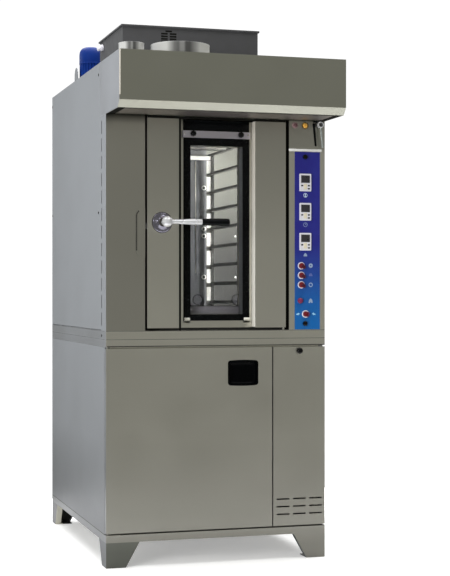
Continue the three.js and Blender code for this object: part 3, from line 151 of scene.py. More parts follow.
# %% Clouds of handling and wiping
CLOUDS, enter, leave = start_group("wiped_clouds", ["Mask"], Per_Metre=3.0, Low=0.0, High=1.0)
noise = add_noise(CLOUDS, point_part(CLOUDS), enter["Per Metre"], 3.0)
feed_all(leave, Mask=stretch_range(CLOUDS, noise, 0.2, 0.8, enter["Low"], enter["High"]))


# %% A fade up the height or across the width of the oven
def make_fade_group(name, part, low, high):
    tree, enter, leave = start_group(name, ["Mask"], **{low: 0.0, high: 1.0})
    mask = stretch_range(tree, point_part(tree, part), enter[low], enter[high], 0.0, 1.0)
    feed_all(leave, Mask=mask)
    return tree


HEIGHT = make_fade_group("up_the_height", "Z", "Bottom", "Top")
WIDTH = make_fade_group("across_the_width", "X", "Left", "Right")


# %% Painted light and shade up the height of a sheet: pairs of a height and a tone
TONE_TOP = 2.1


def make_tone_group(name, stops):
    tree, _, leave = start_group(name, ["Tone"], "Color")
    share = stretch_range(tree, point_part(tree, "Z"), 0.0, TONE_TOP, 0.0, 1.0, "LINEAR")
    stops = [(height / TONE_TOP, value) for height, value in stops]
    feed_all(leave, Tone=grey_ramp(tree, share, stops))
    return tree


FRONT_TONE = make_tone_group("front_tone", (
    (0.0, 0.29), (0.06, 0.3), (0.115, 0.37), (0.135, 0.43), (0.2, 0.46), (0.5, 0.78),
    (0.82, 0.88), (0.92, 0.97), (1.0, 0.97), (1.3, 0.92), (1.72, 0.72), (1.85, 0.7)))
COLUMN_TONE = make_tone_group("column_tone", (
    (0.9, 1.0), (1.3, 1.0), (1.66, 1.0), (1.69, 0.72), (1.79, 0.7)))
# The fascia's top is painted dark as the shadow under the hood.
FASCIA_TONE = make_tone_group("fascia_tone", (
    (0.9, 0.67), (1.3, 0.68), (1.7, 0.72), (1.76, 0.72), (1.796, 0.12)))
SIDE_TONE = make_tone_group("side_tone", (
    (0.0, 0.36), (0.1, 0.38), (0.2, 0.43), (0.5, 0.7), (1.0, 0.74), (2.1, 0.82)))

# %% The faces that look to the sides, to the left or to the rear
FACING, _, leave = start_group("faces_aside", ["Aside", "Left", "Back"])
across = point_part(FACING, "X", "Normal")
back = point_part(FACING, "Y", "Normal")
aside = calculate(FACING, "MAXIMUM", calculate(FACING, "ABSOLUTE", across), back)
feed_all(leave, Aside=stretch_range(FACING, aside, 0.5, 0.8, 0.0, 1.0),
         Left=stretch_range(FACING, across, -0.5, -0.8, 0.0, 1.0),
         Back=stretch_range(FACING, back, 0.5, 0.8, 0.0, 1.0))

# %% Rubbed edges
EDGES, enter, leave = start_group("rubbed_edges", ["Mask"], Radius=0.002, Amount=1.0)
rounded = EDGES.nodes.new("ShaderNodeBevel")
rounded.samples = 4
feed_all(rounded, Radius=enter["Radius"])
flat = EDGES.nodes.new("ShaderNodeNewGeometry")
turn = calculate(EDGES, "DOT_PRODUCT", rounded.outputs["Normal"], flat.outputs["Normal"],
                 kind=VECTORS, out="Value")
feed_all(leave, Mask=stretch_range(EDGES, turn, 1.0, 0.75, 0.0, enter["Amount"]))
print("groups:", [tree.name for tree in bpy.data.node_groups])

# %% [markdown]
# ## Finishes
# Satin stainless sheet is a plain metal: how dark it looks depends on what it mirrors, so its own
# colour stays light and the room does the rest, with painted light and shade up the height and on
# the side faces. The roughness wanders slowly over each sheet, and a very weak bump follows the
# rolling lines. Painted and moulded parts use no metal at all, only a colour that varies a little,
# a fine grain and paler rubbed edges.

# %% Helpers that start a material
def put_group(tree, group, out=0, **values):
    node = tree.nodes.new("ShaderNodeGroup")
    node.node_tree = group
    feed_all(node, **values)
    return node.outputs[out]


def cloudy(tree, per_metre, low, high):
    return put_group(tree, CLOUDS, Per_Metre=per_metre, Low=low, High=high)


def blend(tree, factor, first, second, kind="MIX"):
    mix = tree.nodes.new("ShaderNodeMix")
    mix.data_type = "RGBA"
    mix.blend_type = kind
    feed(mix.inputs["Factor"], factor)
    sockets = [socket for socket in mix.inputs if socket.type == "RGBA"]
    for socket, colour in zip(sockets, (first, second)):
        feed(socket, (*colour, 1.0) if isinstance(colour, tuple) else colour)
    return [socket for socket in mix.outputs if socket.type == "RGBA"][0]


def new_finish(name, **sockets):
    finish = bpy.data.materials.new(name)
    finish.use_nodes = True
    shader = finish.node_tree.nodes["Principled BSDF"]
    feed_all(shader, **sockets)
    return finish, finish.node_tree, shader


def add_bump(tree, shader, height, strength, depth):
    bump = tree.nodes.new("ShaderNodeBump")
    feed_all(bump, Strength=strength, Distance=depth, Height=height)
    feed_all(shader, Normal=bump.outputs["Normal"])


# %% Sheet metal
UPRIGHT_GRAIN = (900.0, 900.0, 12.0)
LEVEL_GRAIN = (12.0, 12.0, 900.0)
GRAIN_DEPTH = 0.0002
LIT_SIDE_COLOUR = (0.51, 0.522, 0.558)


def sheet_metal(name, dark, light, roughness, grain=UPRIGHT_GRAIN, swing=0.03, lines=0.25,
                side=None, metallic=1.0, tone=None, bump=0.12):
    finish, tree, shader = new_finish(name, Metallic=metallic)
    streaks = put_group(tree, GRAIN, Stretch=grain, Contrast=lines)
    body = blend(tree, cloudy(tree, 2.3, 0.3, 0.7), dark, light)
    body = blend(tree, streaks, dark, body)
    # Painted light and shade: the tone paints light up the height, and faces that look to the
    # sides get a colour of their own with the side's painted gradient.
    if tone:
        body = blend(tree, 1.0, body, put_group(tree, tone), "MULTIPLY")
    if side:
        cool = blend(tree, 1.0, put_group(tree, SIDE_TONE), side, "MULTIPLY")
        body = blend(tree, put_group(tree, FACING), body, cool)
    dull = cloudy(tree, 5.0, roughness - swing, roughness + swing)
    feed_all(shader, Base_Color=body, Roughness=dull)
    add_bump(tree, shader, streaks, bump, GRAIN_DEPTH)
    return finish


# %% Paint, plastic and rubber
SKIN_DEPTH = 0.0001


def coated(name, colour, worn, roughness, grain_per_metre=900.0, edge=0.0012, wear=0.5,
           bump=0.08, specular=0.5):
    finish, tree, shader = new_finish(name, Specular_IOR_Level=specular)
    body = blend(tree, cloudy(tree, 14.0, 0.0, 0.35), colour, worn)
    rubbed = put_group(tree, EDGES, Radius=edge, Amount=wear)
    dull = cloudy(tree, 30.0, roughness - 0.06, roughness + 0.06)
    feed_all(shader, Base_Color=blend(tree, rubbed, body, worn), Roughness=dull)
    add_bump(tree, shader, cloudy(tree, grain_per_metre, 0.0, 1.0), bump, SKIN_DEPTH)
    return finish


# %% Glass, clear face on and denser edge on
def clear_pane(name, tint, face_on, edge_on):
    finish, tree, shader = new_finish(name, Roughness=0.04)
    shade = tuple(0.94 * part for part in tint)
    body = blend(tree, cloudy(tree, 9.0, 0.0, 1.0), tint, shade)
    rim = tree.nodes.new("ShaderNodeLayerWeight")
    feed_all(rim, Blend=0.25)
    cover = stretch_range(tree, rim.outputs["Fresnel"], 0.0, 1.0, face_on, edge_on)
    feed_all(shader, Base_Color=body, Alpha=cover)
    return finish


# %% The oven's own finishes
# Three copies of one satin sheet, which differ only in their painted light up the height.
satin, column_sheet, fascia_sheet = [
    sheet_metal(name, (0.835, 0.818, 0.735), (0.875, 0.856, 0.772), 0.33, side=LIT_SIDE_COLOUR,
                tone=tone)
    for name, tone in (("satin_sheet", FRONT_TONE), ("column_sheet", COLUMN_TONE),
                       ("fascia_sheet", FASCIA_TONE))]
hood_sheet = sheet_metal("hood_sheet", (0.53, 0.53, 0.46), (0.57, 0.57, 0.495), 0.30,
                         grain=LEVEL_GRAIN, side=(0.7, 0.715, 0.775), lines=0.15, bump=0.03)
side_sheet = sheet_metal("side_sheet", (0.50, 0.515, 0.55), (0.52, 0.535, 0.57), 0.42,
                         grain=LEVEL_GRAIN, swing=0.02, tone=SIDE_TONE, bump=0.05)
roof_sheet = sheet_metal("roof_sheet", (0.3, 0.31, 0.33), (0.34, 0.35, 0.37), 0.55,
                         grain=LEVEL_GRAIN, metallic=0.7)
foot_sheet = sheet_metal("foot_sheet", (0.5, 0.52, 0.46), (0.56, 0.58, 0.52), 0.45,
                         side=LIT_SIDE_COLOUR, tone=FRONT_TONE)
shadow_sheet = sheet_metal("shadow_sheet", (0.5, 0.455, 0.43), (0.57, 0.52, 0.49), 0.4)
bright = sheet_metal("bright_steel", (0.78, 0.77, 0.74), (0.9, 0.9, 0.88), 0.2, swing=0.04)
rack_steel = sheet_metal("rack_steel", (0.1, 0.1, 0.095), (0.14, 0.14, 0.135), 0.5, metallic=0.2)
rack_facing = sheet_metal("rack_facing", (0.88, 0.88, 0.86), (0.95, 0.95, 0.94), 0.4, metallic=0.0)
clamp_sheet = sheet_metal("clamp_sheet", (0.78, 0.74, 0.84), (0.86, 0.82, 0.92), 0.35)
reveal_sheet = sheet_metal("reveal_sheet", (0.13, 0.138, 0.145), (0.17, 0.178, 0.185), 0.45,
                           metallic=0.3)
sill_sheet = sheet_metal("sill_sheet", (0.27, 0.26, 0.29), (0.31, 0.3, 0.33), 0.45, metallic=0.3)
rosette_steel = sheet_metal("rosette_steel", (0.3, 0.29, 0.36), (0.42, 0.41, 0.49), 0.24)
damper_steel = sheet_metal("damper_steel", (0.42, 0.46, 0.44), (0.52, 0.56, 0.54), 0.32,
                           metallic=0.55)
arm_steel = sheet_metal("arm_steel", (0.9, 0.91, 0.95), (0.96, 0.97, 1.0), 0.26, metallic=0.6)
grey_paint = coated("grey_paint", (0.06, 0.06, 0.062), (0.078, 0.078, 0.084), 0.6, edge=0.002,
                    specular=0.35)
blue_enamel = coated("blue_enamel", (0.002, 0.02, 0.17), (0.01, 0.06, 0.3), 0.5, specular=0.2)
black_plastic = coated("black_plastic", (0.003, 0.0035, 0.004), (0.012, 0.012, 0.014), 0.3,
                       specular=0.25)
black_gloss = coated("black_gloss", (0.002, 0.0025, 0.003), (0.005, 0.005, 0.006), 0.2, bump=0.02,
                     specular=0.12)
pull_black = coated("pull_black", (0.0008, 0.001, 0.0013), (0.001, 0.0013, 0.0016), 0.3,
                    specular=0.05)
black_shiny = coated("black_shiny", (0.001, 0.001, 0.0015), (0.002, 0.002, 0.003), 0.16, wear=0.2,
                     specular=0.3)
display_face = coated("display_face", (0.03, 0.028, 0.034), (0.05, 0.047, 0.055), 0.3)
black_rubber = coated("black_rubber", (0.012, 0.012, 0.013), (0.03, 0.03, 0.03), 0.75)
white_plastic = coated("white_plastic", (0.8, 0.79, 0.86), (0.9, 0.89, 0.94), 0.4)
cream_plastic = coated("cream_plastic", (0.82, 0.75, 0.58), (0.88, 0.84, 0.7), 0.42)
red_plastic = coated("red_plastic", (0.16, 0.008, 0.014), (0.3, 0.03, 0.04), 0.3)
button_plastic = coated("button_plastic", (0.2, 0.02, 0.075), (0.34, 0.06, 0.16), 0.22)
red_shade = coated("red_shade", (0.06, 0.006, 0.018), (0.1, 0.015, 0.03), 0.4)
lilac_shade = coated("lilac_shade", (0.16, 0.04, 0.16), (0.22, 0.07, 0.22), 0.4)
pink_lens = coated("pink_lens", (0.15, 0.07, 0.078), (0.24, 0.15, 0.158), 0.3)
pink_rim = coated("pink_rim", (0.3, 0.2, 0.2), (0.4, 0.29, 0.29), 0.4)
orange_lens = coated("orange_lens", (0.85, 0.42, 0.05), (0.95, 0.68, 0.3), 0.2)
olive_rim = coated("olive_rim", (0.13, 0.09, 0.03), (0.2, 0.15, 0.06), 0.4)
icon_ink = coated("icon_ink", (0.28, 0.38, 0.55), (0.38, 0.48, 0.64), 0.45)
dull_ink = coated("dull_ink", (0.1, 0.14, 0.4), (0.15, 0.2, 0.48), 0.45)
bright_ink = coated("bright_ink", (0.55, 0.7, 0.86), (0.68, 0.8, 0.92), 0.45)
arrow_ink = coated("arrow_ink", (0.28, 0.62, 0.9), (0.5, 0.78, 0.95), 0.45)
painted_gap_shade = coated("painted_gap_shade", (0.006, 0.006, 0.005), (0.012, 0.012, 0.01), 0.7, specular=0.1)
painted_shade_and_seam = coated("painted_shade_and_seam", (0.035, 0.033, 0.028), (0.05, 0.048, 0.04), 0.6)
seam_and_painted_shade = coated("seam_and_painted_shade", (0.09, 0.088, 0.078), (0.12, 0.115, 0.1), 0.6)
side_seam = coated("side_seam", (0.13, 0.13, 0.14), (0.16, 0.16, 0.17), 0.6)
slab_wool = coated("slab_wool", (0.42, 0.34, 0.14), (0.6, 0.5, 0.26), 0.95, grain_per_metre=120.0,
                   bump=0.6)
outer_pane = clear_pane("outer_pane", (0.01, 0.011, 0.012), 0.03, 0.5)
inner_pane = clear_pane("inner_pane", (0.1, 0.11, 0.115), 0.08, 0.6)
pane_disc = clear_pane("pane_disc", (0.03, 0.03, 0.04), 0.55, 0.8)
pane_centre = clear_pane("pane_centre", (0.4, 0.4, 0.46), 0.16, 0.5)


# %% Chamber walls, with painted light: pale at the top by the lamp and dark towards the bottom
COVER_EDGE = spot(665, 0, 0).x
STREAK = (0.13, 0.13, 0.127)


def chamber_sheet(name, top, bottom, cover=None):
    finish, tree, shader = new_finish(name, Metallic=0.15)
    body = blend(tree, put_group(tree, HEIGHT, Bottom=1.2, Top=1.7), bottom, top)
    if cover:
        across = put_group(tree, WIDTH, Left=COVER_EDGE - 0.001, Right=COVER_EDGE + 0.001)
        body = blend(tree, across, cover, body)
    streaks = put_group(tree, GRAIN, Stretch=UPRIGHT_GRAIN, Contrast=0.3)
    feed_all(shader, Base_Color=blend(tree, streaks, body, STREAK),
             Roughness=cloudy(tree, 6.0, 0.37, 0.47))
    return finish


liner_sheet = chamber_sheet("liner_sheet", (1.0, 1.0, 0.98), (0.1, 0.105, 0.1))
duct_sheet = chamber_sheet("duct_sheet", (0.235, 0.243, 0.21), (0.006, 0.007, 0.008),
                           cover=(0.13, 0.137, 0.165))


# %% A foot with painted light and shade: a pale front return, painted shade inside and on the faces that look left, and plain steel on the faces that look back
foot_lit_and_shaded, tree, shader = new_finish("foot_lit_and_shaded", Roughness=0.5)
across = put_group(tree, WIDTH, Left=-0.426, Right=-0.422)
body = blend(tree, across, (0.5, 0.49, 0.42), (0.012, 0.012, 0.011))
body = blend(tree, put_group(tree, FACING, "Left"), body, (0.16, 0.16, 0.17))
body = blend(tree, put_group(tree, FACING, "Back"), body, (0.42, 0.43, 0.45))
feed_all(shader, Base_Color=body)

# %% Steel with a painted reflection: upright bands, as a polished ring would mirror a studio, given as shares of a turn and tones
PAINTED_REFLECTION_BANDS = ((0.0, 0.34), (0.04, 0.54), (0.135, 0.58), (0.155, 0.36), (0.178, 0.16), (0.2, 0.11),
         (0.212, 0.22), (0.228, 0.23), (0.24, 0.07), (0.262, 0.07), (0.3, 0.28), (0.325, 0.5),
         (0.42, 0.55), (0.6, 0.45), (0.8, 0.2))


def painted_reflection_steel(name, centre):
    finish, tree, shader = new_finish(name, Roughness=0.35, Specular_IOR_Level=0.3)
    around = tree.nodes.new("ShaderNodeTexGradient")
    around.gradient_type = "RADIAL"
    middle = calculate(tree, "SUBTRACT", point_part(tree), centre, kind=VECTORS)
    feed_all(around, Vector=middle)
    feed_all(shader, Base_Color=grey_ramp(tree, around.outputs["Fac"], PAINTED_REFLECTION_BANDS))
    lines = put_group(tree, GRAIN, Stretch=UPRIGHT_GRAIN, Contrast=0.2)
    add_bump(tree, shader, lines, 0.1, GRAIN_DEPTH)
    return finish


# %% The control panel's printed film, which fades with the height, and a pale finish with painted light that grows brighter towards the bottom
def fading(name, roughness, bottom, top, low, high, per_metre, share, cloud):
    finish, tree, shader = new_finish(name, Roughness=roughness)
    rise = put_group(tree, HEIGHT, Bottom=bottom, Top=top)
    body = blend(tree, rise, low, high)
    body = blend(tree, cloudy(tree, per_metre, 0.0, share), body, cloud)
    feed_all(shader, Base_Color=body)
    return finish, tree, shader


blue_film, tree, shader = fading("printed_film", 0.32, 0.95, 1.32, (0.003, 0.125, 0.41),
                                 (0.018, 0.017, 0.235), 25.0, 0.05, (0.1, 0.2, 0.6))
add_bump(tree, shader, cloudy(tree, 1400.0, 0.0, 1.0), 0.05, SKIN_DEPTH)
pale_painted_light = fading("pale_painted_light", 0.45, 1.1, 1.8, (0.92, 0.9, 0.82), (0.68, 0.64, 0.56), 12.0, 0.2,
                   (0.8, 0.78, 0.7))[0]
print("finishes:", len(bpy.data.materials))

# %% [markdown]
# ## Dressing the CAD solids
# The folded sheet parts already have their true shape, so each only gets its finish. A real fold
# has a small radius that catches the light. A bevel modifier of about half a millimetre gives the
# outer sheets that line without touching the CAD mesh.

# %% Finishes for the kept solids
KEPT_SOLIDS = (
    (satin, "base_frame cabinet_frame service_panel lower_door oven_base door_casing"),
    (satin, "foot_front_right foot_rear_right"),
    (column_sheet, "control_column"),
    (fascia_sheet, "left_fascia"),
    (hood_sheet, "hood_shell"),
    (shadow_sheet, "hood_baffle heating_element"),
    (side_sheet, "cabinet_side_left cabinet_side_right cabinet_rear_panel"),
    (side_sheet, "oven_side_left oven_side_right oven_rear_panel"),
    (roof_sheet, "oven_roof"),
    (foot_sheet, "foot_front_left"),
    (foot_lit_and_shaded, "foot_rear_left"),
    (liner_sheet, "oven_liner"),
    (duct_sheet, "air_panel"),
    (clamp_sheet, "glass_clamp_bar"),
    (rack_steel, "rack_frame tray_ladder_left tray_ladder_right"),
    (bright, "fan_impeller latch_bolt"),
    (grey_paint, "drive_housing"),
    (blue_enamel, "rack_gearmotor"),
    (blue_film, "control_panel"),
    (black_rubber, "door_gasket"),
    (slab_wool, "oven_insulation"),
)
FOLDED = ("hood_shell left_fascia control_column door_casing lower_door service_panel base_frame "
          "oven_base drive_housing glass_clamp_bar")

for finish, names in KEPT_SOLIDS:
    for name in names.split():
        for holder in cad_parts[name].material_slots:
            holder.material = finish
for name in FOLDED.split():
    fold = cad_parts[name].modifiers.new("fold_radius", "BEVEL")
    fold.width = 0.0006
    fold.segments = 2
    fold.limit_method = "ANGLE"
    fold.angle_limit = math.radians(40)
    fold.use_clamp_overlap = True
print("solids in the frame:", len(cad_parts))

# %% [markdown]
# ## Building shapes
# Round parts are turned: a profile is swept about an axis, as on a lathe. Moulded parts are
# lofted: closed outlines are joined one after another. Blocks get bevelled edges. One mesh lies
# on the bench at a time. Each helper adds a body to it, and add_piece copies it and clears it.

# %% Turning, lofting and blocks
FORWARD = (0, -1, 0)
UP = (0, 0, 1)
bench = bmesh.new()


def join_rings(rings, closed):
    for first, second in zip(rings, rings[1:] + rings[:1] if closed else rings[1:]):
        for i in range(max(len(first), len(second))):
            corners = [first[i % len(first)], first[(i + 1) % len(first)],
                       second[(i + 1) % len(second)], second[i % len(second)]]
            unique = list(dict.fromkeys(corners))
            if len(unique) > 2:
                bench.faces.new(unique)


def add_turned(profile, centre, axis=FORWARD, sides=48, closed=False):
    """Sweeps (radius, distance along the axis) points, in millimetres."""
    axis = Vector(axis).normalized()
    across = axis.orthogonal().normalized()
    over = axis.cross(across)
    turns = [2 * math.pi * i / sides for i in range(sides)]
    spokes = [across * math.cos(turn) + over * math.sin(turn) for turn in turns]
    rings = []
    for radius, along in profile:
        middle = centre + axis * along / 1000
        points = [middle + spoke * radius / 1000 for spoke in spokes] if radius else [middle]
        rings.append([bench.verts.new(point) for point in points])
    join_rings(rings, closed)


def add_loft(outlines, closed=False):
    """Joins outlines of equal count; the ends are capped, or joined when closed."""
    rings = [[bench.verts.new(point) for point in outline] for outline in outlines]
    join_rings(rings, closed)
    if not closed:
        bench.faces.new(rings[0])
        bench.faces.new(rings[-1])


def add_block(low, high, edge=0.0, steps=2):
    """A block between two drawing corners, in millimetres, with rounded edges."""
    low, high = spot(*low), spot(*high)
    corners = bmesh.ops.create_cube(bench, size=1.0)["verts"]
    for corner in corners:
        for axis in range(3):
            corner.co[axis] = high[axis] if corner.co[axis] > 0 else low[axis]
    if edge:
        edges = {line for corner in corners for line in corner.link_edges}
        bmesh.ops.bevel(bench, geom=list(edges), offset=edge / 1000, segments=steps,
                        profile=0.5, affect="EDGES", clamp_overlap=True)


def facing(outline, x, z, y):
    """An outline in the front's plane, put at a drawing point."""
    return [spot(x + across, y, z + up) for across, up in outline]


def add_plate(outline, x, z, *depths):
    add_loft([facing(outline, x, z, depth) for depth in depths])


def rounded_outline(half_width, half_height, radius, steps=5):
    points = []
    for quarter, (right, up) in enumerate(((1, 1), (-1, 1), (-1, -1), (1, -1))):
        for i in range(steps + 1):
            turn = math.pi / 2 * (quarter + i / steps)
            points.append((right * (half_width - radius) + radius * math.cos(turn),
                           up * (half_height - radius) + radius * math.sin(turn)))
    return points


# %% Helpers that finish a piece
def put_in_scene(name, data, place=(0, 0, 0)):
    made = bpy.data.objects.new(name, data)
    made.location = place
    bpy.context.scene.collection.objects.link(made)
    return made


def add_piece(name, finish, body="root", stands_for=None):
    bmesh.ops.recalc_face_normals(bench, faces=bench.faces)
    data = bpy.data.meshes.new(name)
    bench.to_mesh(data)
    bench.clear()
    data.shade_smooth()
    data.set_sharp_from_angle(angle=math.radians(32))
    data.materials.append(finish)
    made = put_in_scene(name, data)
    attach(made, body)
    if stands_for:
        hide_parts(stands_for)


# %% [markdown]
# ## Flue collars
# Two rolled steel rings stand on the hood for the extraction ducts. They are turned with a small
# bead at the rim and a flat flange, with enough sides to look round.

# %% Both collars
ROOF = 2015
RIM = 63

for name, x, radius in (("flue_collar_large", 302, 118), ("flue_collar_small", 102, 51)):
    base = spot(x, 0, ROOF)
    add_turned([(radius - 2, 0), (radius + 11, 0), (radius + 11, 2), (radius + 3, 2), (radius, 5),
                (radius, RIM - 5), (radius + 1.2, RIM - 3), (radius + 0.8, RIM - 0.6),
                (radius - 1, RIM), (radius - 2, RIM - 1)], base, UP, 96, closed=True)
    reflection_finish = painted_reflection_steel(name + "_steel", base)
    add_piece(name + "_ring", reflection_finish, stands_for=name)

# %% [markdown]
# ## Fan motor
# The circulation fan hangs from an upright motor behind the hood. A cast body with cooling ribs
# stands on a flange, and a pressed cowl covers its fan. A pale cable gland droops from the left
# side of the drive housing.
# The ribs are one lofted star, because 24 loose ribs would leave seams.

# %% Motor body, cowl and gland
MOTOR = (150, 1040)
RIBS = 24
RIB_TIP = 52.5
RIB_ROOT = 48
COWL_BASE = 2152


def round_motor(reach, turn, z):
    return spot(MOTOR[0] + reach * math.cos(turn), MOTOR[1] + reach * math.sin(turn), z)


steps = 4 * RIBS
add_loft([[round_motor(RIB_TIP if i % 4 < 2 else RIB_ROOT, 2 * math.pi * i / steps, z)
           for i in range(steps)] for z in (ROOF + 8, COWL_BASE + 1)])
add_turned([(0, 0), (60, 0), (61, 1.5), (61, 7), (59, 9), (0, 9)], spot(*MOTOR, ROOF), UP, 64)
for i in range(4):
    add_turned([(0, 9), (4.5, 9), (4.5, 13), (3.5, 14), (0, 14)],
               round_motor(56, math.pi / 4 + i * math.pi / 2, ROOF), UP, 6)
add_piece("fan_motor_body", blue_enamel, stands_for="fan_motor")
add_turned([(50, 0), (54, 0), (54, 5), (53.2, 6), (53.6, 7), (53.6, 44), (51.6, 56), (47, 66),
            (40, 73), (31, 77), (20, 78), (0, 78)], spot(*MOTOR, COWL_BASE), UP, 72)
add_piece("fan_motor_cowl", blue_enamel, stands_for="fan_motor")

droop = math.radians(22)
add_turned([(0, 0), (13.6, 0), (13.6, 12.6), (12.2, 14.4), (9.6, 15), (9.2, 17), (9.2, 26.5),
            (8, 28.4), (0, 28.6)], spot(146.2, 745, 2185),
           (-math.cos(droop), 0, -math.sin(droop)), 40)
add_piece("housing_gland", white_plastic)

# %% [markdown]
# ## Door latch
# A chromed rosette carries a ball hub, and a lever with a black sleeve lies level across the
# door. The ball is turned together with its spindle so that there is no seam, and the arm swells
# slightly towards the sleeve.

# %% Rosette, lever and grip
LATCH = (228, 1370)
LATCH_REACH = 85
BALL = 22
RIGHT = (1, 0, 0)

plate = spot(LATCH[0], 0, LATCH[1])
hub = spot(LATCH[0], -LATCH_REACH, LATCH[1])
add_turned([(9, 0), (39, 0), (40, 1), (40, 2.5), (38.5, 4), (36, 5), (31, 6.5), (24, 10),
            (19, 14), (16, 17), (13, 18), (9, 18)], plate, sides=72, closed=True)
add_piece("latch_rosette_dish", rosette_steel, "oven_door", "latch_rosette")
# Two dark rings, at the rosette's rim and round the hub, are painted shade.
add_turned([(36, 0.02), (42.4, 0.02), (42.4, 0.5), (36, 0.5)], plate, sides=64, closed=True)
add_turned([(9.2, 18.1), (13, 18.1), (17, 16.4), (17, 17), (13, 18.6), (9.2, 18.6)], plate,
           closed=True)
add_piece("latch_rosette_shade", painted_shade_and_seam, "oven_door")
turns = [math.radians(26 + 154 * i / 14) for i in range(15)]
add_turned([(0, -105), (8.6, -105), (8.6, -22)]
           + [(BALL * math.sin(turn), -BALL * math.cos(turn)) for turn in turns], hub, sides=56)
add_piece("latch_lever_ball", arm_steel, "latch_handle", "latch_lever")
add_turned([(0, 10), (10, 14), (9, 22), (8.6, 26), (9.2, 45), (10.6, 75), (11.8, 110), (12, 138),
            (11, 141), (0, 141)], hub, RIGHT, 40)
add_piece("latch_lever_arm", arm_steel, "latch_handle", "latch_lever")
add_turned([(0, 141.4), (11.5, 141.4), (13, 143), (13.4, 150), (14.6, 185), (15, 215), (15, 246),
            (14, 252), (11, 255), (0, 255)], hub, RIGHT, 40)
add_piece("latch_grip_sleeve", black_gloss, "latch_handle", "latch_grip")

# %% [markdown]
# ## Thumb knobs
# Five black knobs hold panels and glass. Each is a lobed grip with a domed face, lofted through
# outlines that swell and close, so that the lobes fade out towards the dome.

# %% Lobed knobs
def lobed_outline(radius, lobes, depth, steps=6):
    points = []
    for i in range(lobes * steps):
        turn = 2 * math.pi * i / (lobes * steps)
        reach = radius - depth * (0.5 - 0.5 * math.cos(lobes * turn)) ** 2
        points.append((reach * math.cos(turn), reach * math.sin(turn)))
    return points


CLAMP_FACE = 38
CLAMP_Z = 1733

# Each row gives the node, its body, x, z, the face it stands on, its radius and its depth
for name, body, x, z, face, radius, depth in (
        ("glass_knob_left", "glass_thumb_left", 367, CLAMP_Z, CLAMP_FACE, 12, 13),
        ("glass_knob_right", "glass_thumb_right", 569, CLAMP_Z, CLAMP_FACE, 12, 13),
        ("panel_knob_top", "panel_thumb_top", 832, 1647, -2, 10.5, 11),
        ("panel_knob_bottom", "panel_thumb_bottom", 832, 963, -2, 10.5, 11),
        ("service_panel_knob", "service_thumb", 809, 851.5, 0, 13, 14)):
    levels = [(0.80, 0.3, 0), (0.97, 1.0, 1), (1.0, 2.0, 1), (1.0, depth - 6.0, 1),
              (0.96, depth - 3.8, 0.7), (0.86, depth - 1.9, 0.4), (0.7, depth - 0.4, 0.1),
              (0.5, depth + 0.6, 0), (0.26, depth + 1.2, 0), (0.1, depth + 1.4, 0)]
    add_loft([facing(lobed_outline(radius * size, 8, radius * 0.13 * lobed), x, z, face - out)
              for size, out, lobed in levels])
    add_turned([(0, -9), (radius * 0.48, -9), (radius * 0.48, 0.6), (0, 0.6)],
               spot(x, face, z), sides=24)
    add_piece(name + "_grip", black_shiny, body, name)

# %% [markdown]
# ## Finger pull of the cabinet door
# A moulded black bowl is clipped into a cut-out of the door. Its top and bottom edges bow
# outwards. The bowl is lofted from one outline, so the lip, the wall and the floor of the bowl
# follow the same bow.

# %% The bowl
PULL = (567, 764.5)
PULL_HALF = (61, 46)
ARCH = 3.0


def bowed_outline(inset):
    half_width, half_height = PULL_HALF[0] - inset, PULL_HALF[1] - inset
    radius = max(1.0, 9.0 - inset * 0.4)
    flat = rounded_outline(half_width, half_height, radius, 6)
    dense = []
    for (x0, z0), (x1, z1) in zip(flat, flat[1:] + flat[:1]):
        parts = 8 if abs(x1 - x0) > 40 else 1
        dense += [(x0 + (x1 - x0) * i / parts, z0 + (z1 - z0) * i / parts)
                  for i in range(parts)]
    return [(x, z + math.copysign(ARCH * (1 - (x / half_width) ** 2), z)
             if abs(z) > half_height - radius else z) for x, z in dense]


levels = [(0.4, 17.8), (0.2, 16), (0.2, 0.2), (-3.2, 0.0), (-3.6, -0.7), (-2.6, -1.3),
          (0.6, -1.4), (2.4, -0.6), (3.6, 2.0), (6.5, 10.5), (12.0, 14.6), (22, 15.6)]
add_loft([facing(bowed_outline(inset), *PULL, depth) for inset, depth in levels])
add_piece("lower_door_pull_bowl", pull_black, "cabinet_door", "lower_door_pull")

# %% [markdown]
# ## The door's window
# A clear pane lies on the casing in front of the chamber's window and a second one closes it
# behind. The front pane has a black printed border, which is modelled as a thin frame under the
# glass. A black plate closes the recess above the clamp bar.

# %% Panes and the black border, by their left, right, bottom and top
PANE = (329, 609, 976, 1727)
OPENING = (359.5, 580, 1002, 1686)
BACK_PANE = (351, 586, 1023, 1698)


def add_pane(edges, front, back):
    left, right, bottom, top = edges
    add_block((left, front, bottom), (right, back, top), 0.8)


def box_outline(edges, depth):
    left, right, bottom, top = edges
    return [spot(left, depth, bottom), spot(right, depth, bottom), spot(right, depth, top),
            spot(left, depth, top)]


add_pane(PANE, 45, 49.5)
add_piece("door_outer_pane", outer_pane, "oven_door", "door_outer_glass")
add_loft([box_outline(PANE, 49.52), box_outline(OPENING, 49.52), box_outline(OPENING, 49.95),
          box_outline(PANE, 49.95)], closed=True)
add_piece("door_glass_border", black_gloss, "oven_door", "door_outer_glass")
add_pane(BACK_PANE, 105.05, 109)
add_piece("door_inner_pane", inner_pane, "oven_door", "door_inner_glass")
add_block((328.6, 48.4, 1745.4), (608.2, 49.95, 1789.6), 0.4)
add_piece("window_head_plate", black_gloss, "oven_door")

# %% Clips, spacers and screws of the window
CLIPS = (343, 596)
CLIP_HALF = 12.4
DISC_Z = 1061

